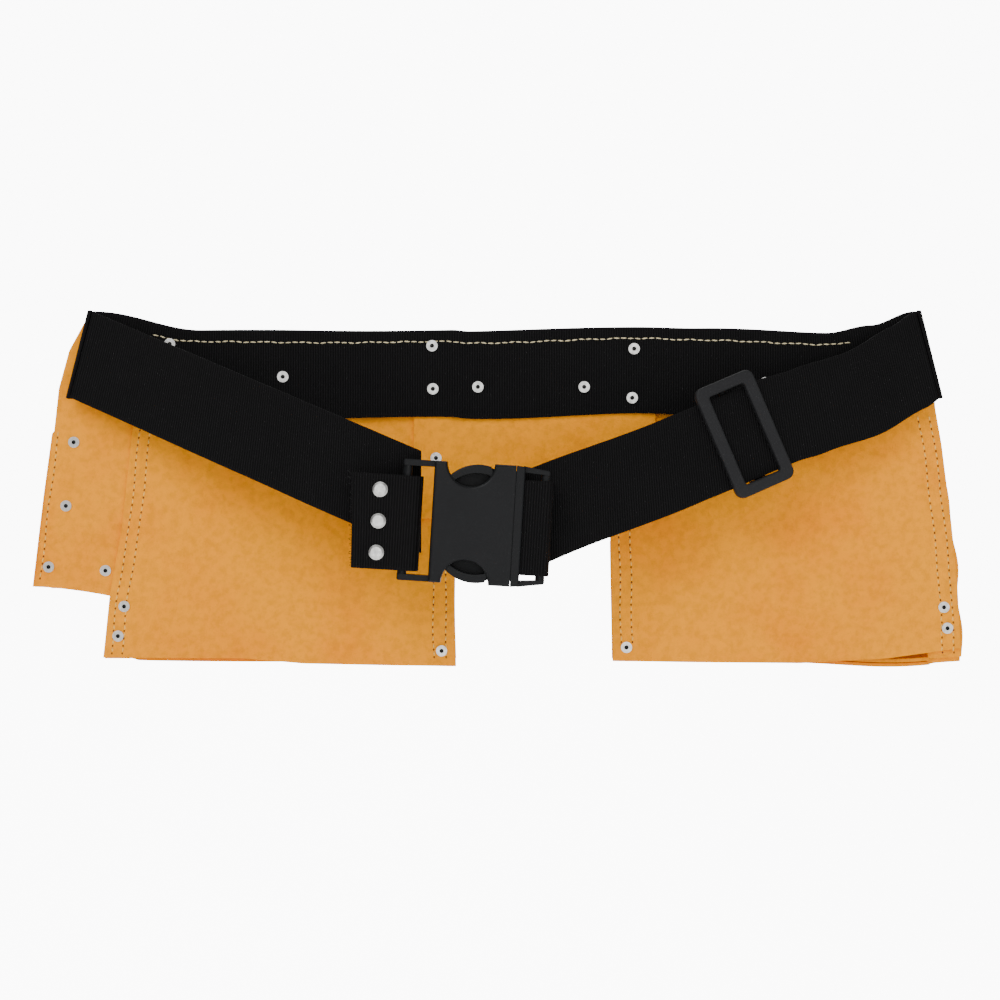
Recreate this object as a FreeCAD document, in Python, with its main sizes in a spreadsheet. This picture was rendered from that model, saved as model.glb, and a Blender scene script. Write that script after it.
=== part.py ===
import FreeCAD, Part
import os
import Sketcher
from FreeCAD import Placement, Rotation, Vector

# Leather tool belt with a webbing waist strap, seen from the wearer's side.
# X runs along the band to the wearer's left hand, Z is up and the pockets open on the +Y side.
# The origin is the middle of the band, on the face that rests against the waist.

DIMENSIONS = (
    # webbing
    ("web_wide", 50.0, "width of all the webbing"),
    ("web_thick", 1.8, "thickness of the webbing"),
    ("crease_half", 240.6, "band centre to the middle of an end crease"),
    ("crease_rise", 10.8, "height of the crease middles over the band's middle"),
    ("crease_tilt", 14.0, "lean of the end creases, degrees"),
    ("band_straight", 175.0, "half of the band's straight run"),
    ("fold_gap", 2.4, "space between the layers at an end crease"),
    ("strap_lift", 11.2, "left strap's end, over the buckle's middle"),
    ("strap_clear", 0.7, "space between a fold and the strap that leaves it"),
    # leather
    ("leather", 2.0, "thickness of the leather"),
    ("top_margin", 4.0, "band's top edge to the leather behind it"),
    ("panel_left", 52.0, "centre panel, left of the origin"),
    ("panel_right", 86.6, "centre panel, right of the origin"),
    ("panel_drop", 83.0, "centre panel's lower edge below the origin"),
    ("pouch_drop", 165.0, "lower edge of both pouches below the origin"),
    ("left_inner", 28.0, "left pouch, inner edge"),
    ("left_shoulder", 207.5, "left pouch, outer edge under the band"),
    ("left_foot", 230.0, "left pouch, outer edge at the bottom"),
    ("right_inner", 61.5, "right pouch, inner edge"),
    ("right_shoulder", 243.5, "right pouch, outer edge under the band"),
    ("right_foot", 263.0, "right pouch, outer edge at the bottom"),
    ("seam", 15.5, "pouch inner edge to the pocket's wall"),
    ("main_wide", 168.0, "width of a main pocket"),
    ("main_deep", 44.0, "how far a main pocket stands out"),
    ("main_mouth", 46.0, "mouth of a main pocket below the origin"),
    ("nail_inset", 5.0, "nail pocket inside the main pocket's width, each side"),
    ("nail_deep", 68.0, "how far a nail pocket stands out"),
    ("nail_mouth", 96.0, "mouth of a nail pocket below the origin"),
    ("tool_wide", 44.0, "width of the narrow tool pocket"),
    ("tool_deep", 14.0, "how far the tool pocket stands out of the nail pocket"),
    ("tool_mouth", 112.0, "mouth of the tool pocket below the origin"),
    ("loop_tall", 24.0, "height of the leather tool loops"),
    ("loop_wide", 56.0, "width of the hammer loop"),
    ("loop_deep", 20.0, "how far the hammer loop stands out"),
    ("tape_left", 15.1, "tape loop's left rivet from the origin"),
    ("tape_right", 45.5, "tape loop's right rivet from the origin"),
    ("tape_deep", 22.0, "how far the tape loop stands out"),
    ("tape_tab", 7.0, "tape loop's tab round its rivet"),
    ("side_inner", 214.0, "side holster, edge under the left pouch"),
    ("side_shoulder", 253.0, "side holster, outer edge at the band"),
    ("side_foot", 268.0, "side holster, outer edge at the bottom"),
    ("side_drop", 122.0, "side holster's lower edge below the origin"),
    ("side_mouth", 31.0, "side holster's mouth below the origin"),
    ("side_deep", 18.0, "how far the side holster stands out"),
    ("side_margin", 5.0, "side holster's wall to the panel's edge"),
    # rivets
    ("flange_radius", 3.2, "tubular rivet's flange"),
    ("flange_thick", 0.8, "thickness of the flange and the washer"),
    ("shank_radius", 1.9, "tubular rivet's shank"),
    ("bore_radius", 1.2, "hole down a tubular rivet"),
    ("cap_radius", 4.0, "cap rivet's head"),
    ("cap_thick", 1.7, "cap rivet's head, at its middle"),
    ("cap_rim", 0.7, "cap rivet's head, at its rim"),
    ("cap_step", 16.5, "spacing of the cap rivets"),
    ("cap_back", 13.5, "buckle bar to the cap rivets"),
    # side-release buckle
    ("buckle_x", 4.3, "where the buckle's two halves meet, from the origin"),
    ("buckle_drop", 85.7, "buckle's middle below the origin"),
    ("buckle_out", 58.0, "buckle's mid-plane in front of the band"),
    ("buckle_tilt", 3.5, "lean of the buckle, degrees"),
    ("web_side", 3.6, "webbing's edges to the rails beside it"),
    ("shell_long", 42.8, "length of the female half's shell"),
    ("shell_thick", 13.0, "thickness of the shell"),
    ("shell_wall", 1.9, "wall of the shell"),
    ("window_radius", 12.5, "half-round finger window"),
    ("window_back", 23.8, "buckle's mouth to the middle of the windows"),
    ("bar_radius", 2.5, "bars that the webbing goes round"),
    ("female_bar", 57.0, "buckle's mouth to the female half's bar"),
    ("male_bar", 15.7, "buckle's mouth to the male half's bar"),
    ("male_plate", 4.5, "thickness of the male half's cross plate"),
    ("rail", 3.2, "rails beside the bars"),
    ("rail_taper", 2.2, "how far the male half's rails draw in"),
    ("rail_thick", 6.0, "rails and tongue, front to back"),
    ("rail_round", 1.3, "rounding at the rails' outer ends"),
    ("plate_round", 1.2, "rounding of the male half's plate"),
    ("shell_round", 1.6, "rounding of the shell's long edges"),
    ("shell_side", 2.5, "shell's upper and lower wall"),
    ("shell_back", 4.0, "solid part of the shell at its strap end"),
    ("tongue_long", 32.0, "middle tongue, from the parting line"),
    ("prong_round", 0.9, "rounding of a finger pad's edges"),
    ("pad_depth", 5.0, "depth of a finger pad's rounded part"),
    ("rear_edge", 2.6, "rear wall in a finger window, from the shell's edge at the mouth"),
    ("rear_foot", 8.5, "the same at the window's strap end"),
    ("rear_arc", 22.0, "radius of the rear wall's curved edge"),
    ("lip_long", 0.4, "how far the male half's lip enters the shell"),
    ("lip_clear", 0.4, "space round the lip"),
    ("pad_edge", 12.0, "a finger pad's edges longer than this are rounded"),
    ("web_clear", 0.3, "webbing to the bar that it goes round"),
    ("slide_clear", 0.3, "space between sliding parts"),
    ("flap_long", 27.5, "flap, from the bar to its cut end"),
    ("flap_return", 17.0, "flap's rear layer, from the bar"),
    ("prong_thick", 8.2, "thickness of the prongs"),
    ("prong_root", 20.0, "prong's root from the buckle's middle line"),
    ("strap_flat", 50.0, "left strap's flat end behind the flap"),
    ("strap_stop", 41.0, "left strap's end, left of the origin"),
    ("right_strap_long", 243.0, "right strap from its crease to the buckle"),
    ("right_strap_pitch", 10.2, "right strap's lean towards the front, degrees"),
    # slide adjuster
    ("glide_back", 120.6, "right crease to the slide adjuster"),
    ("glide_side", 1.0, "webbing's edges to the slide adjuster's ends"),
    ("glide_end", 6.5, "slide adjuster's end rails"),
    ("glide_long", 36.0, "slide adjuster along the strap"),
    ("glide_rail", 7.2, "slide adjuster's rails"),
    ("glide_thick", 3.4, "thickness of the slide adjuster's frame"),
    ("glide_corner", 5.0, "slide adjuster's corner radius"),
    ("glide_bar", 2.0, "radius of the slide adjuster's hidden bar"),
    ("glide_tail", 15.0, "webbing end sewn round the hidden bar"),
    ("return_gap", 44.0, "slide adjuster to the end of the returning layer"),
    ("return_start", 222.0, "right crease to the returning layer's start"),
    ("return_fan", 3.0, "how far the returning layer fans down, degrees"),
)

document = FreeCAD.newDocument("tool_belt")
sheet = document.addObject("Spreadsheet::Sheet", "Dims")
for row, (alias, number, note) in enumerate(DIMENSIONS, start=1):
    sheet.set(f"A{row}", alias)
    sheet.set(f"B{row}", str(number))
    sheet.set(f"C{row}", note)
    sheet.setAlias(f"B{row}", alias)
document.recompute()
for alias, number, note in DIMENSIONS:
    globals()[alias] = f"Dims.{alias}"

leather_top = f"({web_wide} / 2 - {top_margin})"
buckle_tall = f"({web_wide} + 2 * ({web_side} + {rail}))"
glide_wide = f"({web_wide} + 2 * ({glide_side} + {glide_end}))"
strap_fall = f"({crease_rise} + {buckle_drop} - {strap_lift})"
strap_angle = f"(atan({strap_fall} / ({crease_half} - {strap_stop})) / 1 deg)"

pieces = []

SAME_PLACE = 0.01


def value(expression):
    return float(sheet.evalExpression(str(expression)))


def new_body(label, placement=None):
    """A named sub-part, placed in the belt's frame."""
    body = document.addObject("PartDesign::Body", label)
    body.Label = label
    if placement is not None:
        body.Placement = placement
    pieces.append(body)
    return body


def new_sketch(body, role, offset="0"):
    """An empty sketch on one of the body's origin planes, moved along the plane's normal."""
    sketch = body.newObject("Sketcher::SketchObject", body.Label + "_sketch")
    plane = next(o for o in body.Origin.OriginFeatures if o.Role == role)
    sketch.AttachmentSupport = (plane, [""])
    sketch.MapMode = "FlatFace"
    sketch.setExpression("AttachmentOffset.Base.z", str(offset))
    return sketch


def fix_point(sketch, geometry, end, across, up):
    """Ties one point of the sketch to two expressions."""
    for kind, expression in (("DistanceX", across), ("DistanceY", up)):
        constraint = Sketcher.Constraint(kind, -1, 1, geometry, end, value(expression))
        index = sketch.addConstraint(constraint)
        sketch.setExpression(f"Constraints[{index}]", str(expression))


def half_turn_centre(sketch, index, start, end):
    """Ties a half circle's centre to the middle of its two ends."""
    upright = abs(value(start[0]) - value(end[0])) < abs(value(start[1]) - value(end[1]))
    kind, axis = ("DistanceX", 0) if upright else ("DistanceY", 1)
    middle = f"(({start[axis]}) + ({end[axis]})) / 2"
    number = sketch.addConstraint(Sketcher.Constraint(kind, -1, 1, index, 3, value(middle)))
    sketch.setExpression(f"Constraints[{number}]", middle)


def draw_outline(sketch, corners):
    """A closed run of corners (across, up); a third entry is the radius of an arc to the next corner.

    A positive radius bulges to the left of the way of travel, a negative one to the right.
    """
    points = [Vector(value(c[0]), value(c[1]), 0) for c in corners]
    for i, corner in enumerate(corners):
        start, end = points[i], points[(i + 1) % len(points)]
        if len(corner) == 2:
            index = sketch.addGeometry(Part.LineSegment(start, end), False)
            ends = (1, 2)
        else:
            radius = value(corner[2])
            chord = end - start
            left = Vector(-chord.y, chord.x, 0).normalize()
            rise = abs(radius) - max(radius**2 - (chord.Length / 2) ** 2, 0) ** 0.5
            middle = start + chord * 0.5 + left * (rise if radius > 0 else -rise)
            arc = Part.Arc(start, middle, end)
            index = sketch.addGeometry(arc, False)
            found = sketch.getPoint(index, 1)
            ends = (1, 2) if (found - start).Length < (found - end).Length else (2, 1)
            if rise > 0.999 * abs(radius):
                half_turn_centre(sketch, index, corners[i], corners[(i + 1) % len(corners)])
            else:
                number = sketch.addConstraint(Sketcher.Constraint("Radius", index, abs(radius)))
                sketch.setExpression(f"Constraints[{number}]", f"abs({corner[2]})")
        fix_point(sketch, index, ends[0], corner[0], corner[1])
        if i > 0:
            sketch.addConstraint(Sketcher.Constraint("Coincident", last[0], last[1], index, ends[0]))
        else:
            first = (index, ends[0])
        last = (index, ends[1])
    sketch.addConstraint(Sketcher.Constraint("Coincident", last[0], last[1], first[0], first[1]))


def draw_circle(sketch, across, up, radius):
    circle = Part.Circle(Vector(value(across), value(up), 0), Vector(0, 0, 1), value(radius))
    index = sketch.addGeometry(circle, False)
    number = sketch.addConstraint(Sketcher.Constraint("Radius", index, value(radius)))
    sketch.setExpression(f"Constraints[{number}]", str(radius))
    fix_point(sketch, index, 3, across, up)


def pad(body, sketch, length, both_sides=False):
    feature = body.newObject("PartDesign::Pad", body.Label + "_pad")
    feature.Profile = sketch
    feature.setExpression("Length", str(length))
    if both_sides:
        feature.Midplane = True
    sketch.Visibility = False
    return feature


def cut(body, sketch, length, both_sides=False):
    feature = body.newObject("PartDesign::Pocket", body.Label + "_cut")
    feature.Profile = sketch
    feature.setExpression("Length", str(length))
    if both_sides:
        feature.Midplane = True
    sketch.Visibility = False
    return feature


def round_edges(body, radius, wanted):
    """Rounds the edges of the body's last feature whose middles pass the test."""
    document.recompute()
    base = body.Tip
    names = [f"Edge{i + 1}" for i, edge in enumerate(base.Shape.Edges) if wanted(edge)]
    feature = body.newObject("PartDesign::Fillet", body.Label + "_rounds")
    feature.Base = (base, names)
    feature.setExpression("Radius", str(radius))
    return feature


def panel(label, corners, front, thickness, holes=()):
    """A flat piece upright in XZ, from the front face's y towards +Y."""
    body = new_body(label)
    sketch = new_sketch(body, "XZ_Plane", f"-({front} + {thickness})")
    draw_outline(sketch, corners)
    for across, up in holes:
        draw_circle(sketch, across, up, shank_radius)
    pad(body, sketch, thickness)
    return body


# ---------------------------------------------------------------- webbing band and its folds

crease_long = f"({web_wide} / cos({strap_angle} - {crease_tilt}))"
crease_lean = f"({crease_long} / 2 * sin({crease_tilt}))"
crease_reach = f"({crease_long} / 2 * cos({crease_tilt}))"
band_back = web_thick
pouch_front = f"({web_thick} + {leather})"
pouch_rear = f"({web_thick} + 2 * {leather})"

# Rivets through the band: across, up, and how far back they reach
BAND_RIVETS = (
    ("band_rivet_1", "-41.3", "16", pouch_rear),
    ("band_rivet_2", "-40.8", "-8.6", pouch_rear),
    ("band_rivet_3", f"-{tape_left}", "-7.5", f"({pouch_front} + {leather})"),
    ("band_rivet_4", tape_right, "-7.5", f"({pouch_front} + {leather})"),
    ("band_rivet_5", "74", "14.3", pouch_rear),
    ("band_rivet_6", "72.9", "-13.7", pouch_rear),
    ("band_rivet_7", "-126.4", "-1.7", pouch_rear),
    ("band_rivet_8", "-190.9", "17", pouch_rear),
    ("band_rivet_9", "148.8", "-5.1", pouch_rear),
)
band_holes = [(across, up) for name, across, up, reach in BAND_RIVETS]
half_web = f"({web_wide} / 2)"

panel(
    "band_webbing",
    (
        (f"-{crease_half} - {crease_lean}", f"{crease_rise} - {crease_reach}"),
        (f"-{band_straight}", f"-{half_web}"),
        (band_straight, f"-{half_web}"),
        (f"{crease_half} + {crease_lean}", f"{crease_rise} - {crease_reach}"),
        (f"{crease_half} - {crease_lean}", f"{crease_rise} + {crease_reach}"),
        (band_straight, half_web),
        (f"-{band_straight}", half_web),
        (f"-{crease_half} + {crease_lean}", f"{crease_rise} + {crease_reach}"),
    ),
    "0",
    web_thick,
    band_holes,
)


def end_fold(label, side):
    """The webbing's turn at one end crease, from the band round to the strap."""
    lean = Rotation(Vector(0, 1, 0), -side * value(crease_tilt))
    spot = Vector(side * value(crease_half), 0, value(crease_rise))
    body = new_body(label, Placement(spot, lean))
    sketch = new_sketch(body, "XY_Plane")
    outer = f"({fold_gap} / 2 + {web_thick})"
    inner = f"({fold_gap} / 2)"
    draw_outline(
        sketch,
        (
            ("0", web_thick, f"{side} * {outer}"),
            ("0", f"-{fold_gap} - {web_thick}"),
            ("0", f"-{fold_gap}", f"-{side} * {inner}"),
            ("0", "0"),
        ),
    )
    pad(body, sketch, crease_long, both_sides=True)


end_fold("left_end_fold", -1)
end_fold("right_end_fold", 1)

# ---------------------------------------------------------------- leather panels

panel_rivets = (
    ("panel_rivet_1", "-39.1", "-48"),
    ("panel_rivet_2", "69.4", "-48"),
)
left_rivets = (
    ("left_pouch_rivet_1", f"-{left_foot} + 12", f"-{pouch_drop} + 32"),
    ("left_pouch_rivet_2", f"-{left_foot} + 8.5", f"-{pouch_drop} + 15"),
    ("left_pouch_rivet_3", f"-{left_inner} - 8", f"-{pouch_drop} + 6.5"),
)
right_rivets = (
    ("right_pouch_rivet_1", f"{right_inner} + 8.5", f"-{pouch_drop} + 8.5"),
    ("right_pouch_rivet_2", f"{right_foot} - 11", f"-{pouch_drop} + 31.5"),
    ("right_pouch_rivet_3", f"{right_foot} - 9", f"-{pouch_drop} + 19.5"),
)
side_rivets = (
    ("side_rivet_1", f"-{side_shoulder} + 5.5", "-38.8"),
    ("side_rivet_2", f"-{side_shoulder} + 1", "-75.4"),
    ("side_rivet_3", f"-{side_foot} + 6", f"-{side_drop} + 11.5"),
    ("side_rivet_4", f"-{side_inner} - 15.3", f"-{side_drop} + 9.4"),
)


def spots(rivets):
    return [(across, up) for name, across, up in rivets]


def band_spots(low, high):
    """Band rivets that pass through a panel between two places along the band."""
    return [(a, u) for a, u in band_holes if value(low) < value(a) < value(high)]


panel(
    "centre_panel",
    (
        (f"-{panel_left}", f"-{panel_drop}"),
        (panel_right, f"-{panel_drop}"),
        (panel_right, leather_top),
        (f"-{panel_left}", leather_top),
    ),
    band_back,
    leather,
    band_spots(f"-{panel_left}", panel_right) + spots(panel_rivets),
)

panel(
    "left_pouch_back",
    (
        (f"-{left_foot}", f"-{pouch_drop} + 1"),
        (f"-{left_inner}", f"-{pouch_drop}"),
        (f"-{left_inner}", leather_top),
        (f"-{left_shoulder}", leather_top),
        (f"-{left_shoulder} - 11", f"-{main_mouth} - 22"),
    ),
    pouch_front,
    leather,
    band_spots(f"-{left_shoulder}", f"-{left_inner}") + spots(panel_rivets[:1]) + spots(left_rivets),
)

panel(
    "right_pouch_back",
    (
        (right_inner, f"-{pouch_drop}"),
        (right_foot, f"-{pouch_drop} + 5"),
        (f"{right_foot} - 3", f"-{pouch_drop} + 24"),
        (f"{right_shoulder} + 9", f"-{main_mouth} - 22"),
        (right_shoulder, leather_top),
        (right_inner, leather_top),
    ),
    pouch_front,
    leather,
    band_spots(right_inner, right_shoulder) + spots(panel_rivets[1:]) + spots(right_rivets),
)

panel(
    "side_panel",
    (
        (f"-{side_inner}", f"-{side_drop} - 3"),
        (f"-{side_inner}", leather_top),
        (f"-{side_shoulder} + 16", f"{leather_top} + 14"),
        (f"-{side_shoulder}", "-8"),
        (f"-{side_foot}", f"-{side_drop}"),
    ),
    pouch_rear,
    leather,
    spots(side_rivets),
)

# ---------------------------------------------------------------- pockets


def arc_radius(width, depth):
    """Radius of an arc of that width that stands out that far."""
    return f"((({width}) / 2) ^ 2 + ({depth}) ^ 2) / (2 * ({depth}))"


def inner_half(width, depth):
    """Half the width of the same arc one leather thickness inside."""
    radius = arc_radius(width, depth)
    return f"sqrt(({radius} - {leather}) ^ 2 - ({radius} - ({depth})) ^ 2)"


def bow(middle, back, half, radius):
    """A D: straight along the back, bowed out towards +Y."""
    return (
        (f"{middle} + {half}", back, f"-({radius})"),
        (f"{middle} - {half}", back),
    )


class Bowl:
    """The D-shaped plan of one pocket and what it stands in front of."""

    def __init__(self, middle, back, width, depth, behind=None):
        self.middle, self.back, self.width, self.depth = middle, back, width, depth
        self.behind = behind

    def outer(self):
        radius = arc_radius(self.width, self.depth)
        return bow(self.middle, self.back, f"({self.width}) / 2", radius)

    def inner(self):
        radius = f"{arc_radius(self.width, self.depth)} - {leather}"
        return bow(self.middle, self.back, inner_half(self.width, self.depth), radius)


def pocket_piece(label, low, high, shape, hollow):
    """A wall or a bottom with the bowl's plan between two heights."""
    body = new_body(label)
    sketch = new_sketch(body, "XY_Plane", low)
    draw_outline(sketch, shape)
    pad(body, sketch, f"({high}) - ({low})")
    for plan in hollow:
        hole = new_sketch(body, "XY_Plane", f"({high}) + 1")
        draw_outline(hole, plan)
        cut(body, hole, f"({high}) - ({low}) + 2")


def pocket_wall(label, bowl, low, high):
    hollow = [bowl.inner()] + ([bowl.behind.outer()] if bowl.behind else [])
    pocket_piece(label, low, high, bowl.outer(), hollow)


def pocket_bottom(label, bowl, low):
    hollow = [bowl.behind.outer()] if bowl.behind else []
    pocket_piece(label, low, f"{low} + {leather}", bowl.inner(), hollow)


left_middle = f"(-{left_inner} - {seam} - {main_wide} / 2)"
right_middle = f"({right_inner} + {seam} + {main_wide} / 2)"
nail_wide = f"({main_wide} - 2 * {nail_inset})"
floor = f"(-{pouch_drop})"
tool_back = f"({pouch_rear} + {nail_deep} - {leather} - 4)"
mains, nails = {}, {}
for side, middle in (("left", left_middle), ("right", right_middle)):
    mains[side] = Bowl(middle, pouch_rear, main_wide, main_deep)
    nails[side] = Bowl(middle, pouch_rear, nail_wide, nail_deep, mains[side])
    pocket_wall(f"{side}_main_pocket", mains[side], floor, f"-{main_mouth}")
    pocket_bottom(f"{side}_main_bottom", mains[side], floor)
    pocket_wall(f"{side}_nail_pocket", nails[side], floor, f"-{nail_mouth}")
    pocket_bottom(f"{side}_nail_bottom", nails[side], floor)

tool = Bowl(left_middle, tool_back, tool_wide, f"{tool_deep} + {leather} + 4", nails["left"])
pocket_wall("left_tool_pocket", tool, floor, f"-{tool_mouth}")
pocket_bottom("left_tool_bottom", tool, floor)

loop = Bowl(right_middle, tool_back, loop_wide, f"{loop_deep} + {leather} + 4", nails["right"])
pocket_wall("right_hammer_loop", loop, f"-{tool_mouth} - {loop_tall}", f"-{tool_mouth}")

side_width = f"({side_foot} - {side_inner} - 3 * {side_margin})"
side_middle = f"(-{side_inner} - {side_margin} - {side_width} / 2)"
side_bowl = Bowl(side_middle, f"({pouch_rear} + {leather})", side_width, side_deep)
pocket_wall("side_holster", side_bowl, f"-{side_drop}", f"-{side_mouth}")
pocket_bottom("side_holster_bottom", side_bowl, f"(-{side_drop})")

tape_low = f"(-7.5 - {loop_tall} / 2)"
tape_width = f"({tape_left} + {tape_right} - 2 * {tape_tab})"
tape = Bowl(f"(({tape_right} - {tape_left}) / 2)", pouch_front, tape_width, tape_deep)
tape_body = new_body("centre_tape_loop")
tape_tabs = new_sketch(tape_body, "XY_Plane", tape_low)
outer_radius = arc_radius(tape_width, tape_deep)
draw_outline(
    tape_tabs,
    (
        (f"-{tape_left} - {tape_tab}", pouch_front),
        (f"{tape_right} + {tape_tab}", pouch_front),
        (f"{tape_right} + {tape_tab}", f"{pouch_front} + {leather}"),
        (f"{tape_right} - {tape_tab}", f"{pouch_front} + {leather}", f"-({outer_radius})"),
        (f"-{tape_left} + {tape_tab}", f"{pouch_front} + {leather}"),
        (f"-{tape_left} - {tape_tab}", f"{pouch_front} + {leather}"),
    ),
)
pad(tape_body, tape_tabs, loop_tall)
tape_hollow = new_sketch(tape_body, "XY_Plane", f"{tape_low} + {loop_tall} + 1")
draw_outline(tape_hollow, tape.inner())
cut(tape_body, tape_hollow, f"{loop_tall} + 2")
tape_holes = new_sketch(tape_body, "XZ_Plane", f"-({pouch_rear} + 1)")
for across in (f"-{tape_left}", tape_right):
    draw_circle(tape_holes, across, "-7.5", shank_radius)
document.recompute()
tape_cut = cut(tape_body, tape_holes, f"{leather} + 2")
tape_cut.Reversed = True

# ---------------------------------------------------------------- tubular rivets


def tubular_rivet(label, across, up, front, rear):
    """A hollow rivet from the front face's y to the rear face's y, with a washer behind."""
    body = new_body(label, Placement(Vector(value(across), value(front), value(up)), Rotation()))
    depth = f"({rear} - ({front}))"
    sketch = new_sketch(body, "XY_Plane")
    draw_outline(
        sketch,
        (
            (bore_radius, f"-{flange_thick}"),
            (flange_radius, f"-{flange_thick}"),
            (flange_radius, "0"),
            (shank_radius, "0"),
            (shank_radius, depth),
            (flange_radius, depth),
            (flange_radius, f"{depth} + {flange_thick}"),
            (bore_radius, f"{depth} + {flange_thick}"),
        ),
    )
    turn = body.newObject("PartDesign::Revolution", label + "_turn")
    turn.Profile = sketch
    turn.ReferenceAxis = (sketch, ["V_Axis"])
    turn.Angle = 360


for label, across, up, reach in BAND_RIVETS:
    tubular_rivet(label, across, up, "0", reach)
for label, across, up in panel_rivets:
    tubular_rivet(label, across, up, band_back, pouch_rear)
for label, across, up in left_rivets + right_rivets:
    tubular_rivet(label, across, up, pouch_front, pouch_rear)
for label, across, up in side_rivets:
    tubular_rivet(label, across, up, pouch_rear, f"{pouch_rear} + {leather}")

# ---------------------------------------------------------------- left strap, flap and cap rivets

strap_face = f"({fold_gap} + {web_thick} / 2)"
wrap_inner = f"({bar_radius} + {web_clear})"
wrap_outer = f"({wrap_inner} + {web_thick})"
half_thick = f"({web_thick} / 2)"
strap_reach = f"({buckle_out} - {wrap_outer} - {half_thick} - {strap_face})"
left_long = f"(({crease_half} - {strap_stop}) / cos({strap_angle}))"
crease_slope = f"tan({strap_angle} - {crease_tilt})"

left_strap = new_body(
    "left_strap_webbing",
    Placement(
        Vector(-value(crease_half), -value(strap_face), value(crease_rise)),
        Rotation(Vector(0, 1, 0), value(strap_angle)),
    ),
)
run = new_sketch(left_strap, "XY_Plane")
bend = f"({left_long} - {strap_flat})"
draw_outline(
    run,
    (
        ("-12", f"-{half_thick}"),
        ("3", f"-{half_thick}"),
        (bend, f"-{strap_reach} - {half_thick}"),
        (f"{left_long} + 14", f"-{strap_reach} - {half_thick}"),
        (f"{left_long} + 14", f"-{strap_reach} + {half_thick}"),
        (bend, f"-{strap_reach} + {half_thick}"),
        ("3", half_thick),
        ("-12", half_thick),
    ),
)
pad(left_strap, run, web_wide, both_sides=True)
crease_cut = new_sketch(left_strap, "XZ_Plane", "-20")
draw_outline(
    crease_cut,
    (
        ("-40", "-60"),
        (f"{strap_clear} + 60 * {crease_slope}", "-60"),
        (f"{strap_clear} - 60 * {crease_slope}", "60"),
        ("-40", "60"),
    ),
)
document.recompute()
cut(left_strap, crease_cut, "100").Reversed = True
end_cut = new_sketch(left_strap, "XZ_Plane", "-20")
draw_outline(
    end_cut,
    (
        (f"{left_long} + 60 * tan({strap_angle})", "-60"),
        (f"{left_long} + 90", "-60"),
        (f"{left_long} + 90", "60"),
        (f"{left_long} - 60 * tan({strap_angle})", "60"),
    ),
)
document.recompute()
cut(left_strap, end_cut, "200").Reversed = True

buckle_place = Placement(
    Vector(value(buckle_x), -value(buckle_out), -value(buckle_drop)),
    Rotation(Vector(0, 1, 0), value(buckle_tilt)),
)


def wrap(label, bar, radius, front_long, rear_long, side, place, thick=web_thick):
    """Webbing round a bar: a front layer, a half turn and a rear layer.

    side is 1 where the turn is on the bar's right and the layers run left, and -1 the other way.
    """
    body = new_body(label, place)
    sketch = new_sketch(body, "XY_Plane")
    outside = f"({radius} + {thick})"
    draw_outline(
        sketch,
        (
            (f"{bar} - {side} * {front_long}", f"-{outside}"),
            (bar, f"-{outside}", f"-{side} * {outside}"),
            (bar, outside),
            (f"{bar} - {side} * {rear_long}", outside),
            (f"{bar} - {side} * {rear_long}", radius),
            (bar, radius, f"{side} * {radius}"),
            (bar, f"-{radius}"),
            (f"{bar} - {side} * {front_long}", f"-{radius}"),
        ),
    )
    pad(body, sketch, web_wide, both_sides=True)
    return body


cap_line = f"(-{female_bar} - {cap_back})"
cap_heights = [f"({step} * {cap_step} - 1.5)" for step in (-1, 0, 1)]
flap = wrap("left_strap_flap", f"(-{female_bar})", wrap_inner, flap_long, flap_return, 1, buckle_place)
flap_holes = new_sketch(flap, "XZ_Plane", "-20")
for height in cap_heights:
    draw_circle(flap_holes, cap_line, height, shank_radius)
document.recompute()
cut(flap, flap_holes, "60").Reversed = True

for number, height in enumerate(cap_heights, start=1):
    spot = buckle_place.multVec(Vector(value(cap_line), 0, value(height)))
    cap = new_body(f"cap_rivet_{number}", Placement(spot, buckle_place.Rotation))
    profile = new_sketch(cap, "XY_Plane")
    draw_outline(
        profile,
        (
            ("0", f"-{wrap_outer} - {cap_thick}"),
            (f"{cap_radius} * 0.72", f"-{wrap_outer} - {cap_thick}"),
            (cap_radius, f"-{wrap_outer} - {cap_rim}"),
            (cap_radius, f"-{wrap_outer}"),
            (shank_radius, f"-{wrap_outer}"),
            (shank_radius, wrap_outer),
            ("0", wrap_outer),
        ),
    )
    turn = cap.newObject("PartDesign::Revolution", f"cap_rivet_{number}_turn")
    turn.Profile = profile
    turn.ReferenceAxis = (profile, ["V_Axis"])
    turn.Angle = 360

# ---------------------------------------------------------------- buckle, female half

half_tall = f"({buckle_tall} / 2)"


def bars(body, bar, start, thick, taper):
    """Two rails from the body, drawn in by the taper, to a round bar between them."""
    outward = -1 if value(bar) < 0 else 1
    rail_end = f"({bar} + {outward} * {bar_radius})"
    for sign in (1, -1):
        rails = new_sketch(body, "XZ_Plane", f"-{thick} / 2")
        draw_outline(
            rails,
            (
                (start, f"{sign} * ({half_tall} - {rail})"),
                (rail_end, f"{sign} * ({half_tall} - {rail} - {taper} / 2)"),
                (rail_end, f"{sign} * ({half_tall} - {taper})"),
                (start, f"{sign} * {half_tall}"),
            ),
        )
        pad(body, rails, thick)
    end = value(rail_end)
    outside = value(half_tall) - value(taper) - value(rail) / 2
    round_edges(
        body,
        rail_round,
        lambda e: abs(e.CenterOfMass.x - end) < SAME_PLACE and abs(e.CenterOfMass.z) > outside,
    )
    round_bar = new_sketch(body, "XY_Plane")
    draw_circle(round_bar, bar, "0", bar_radius)
    pad(body, round_bar, f"{buckle_tall} - 2 * {taper} - 2", both_sides=True)


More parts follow.
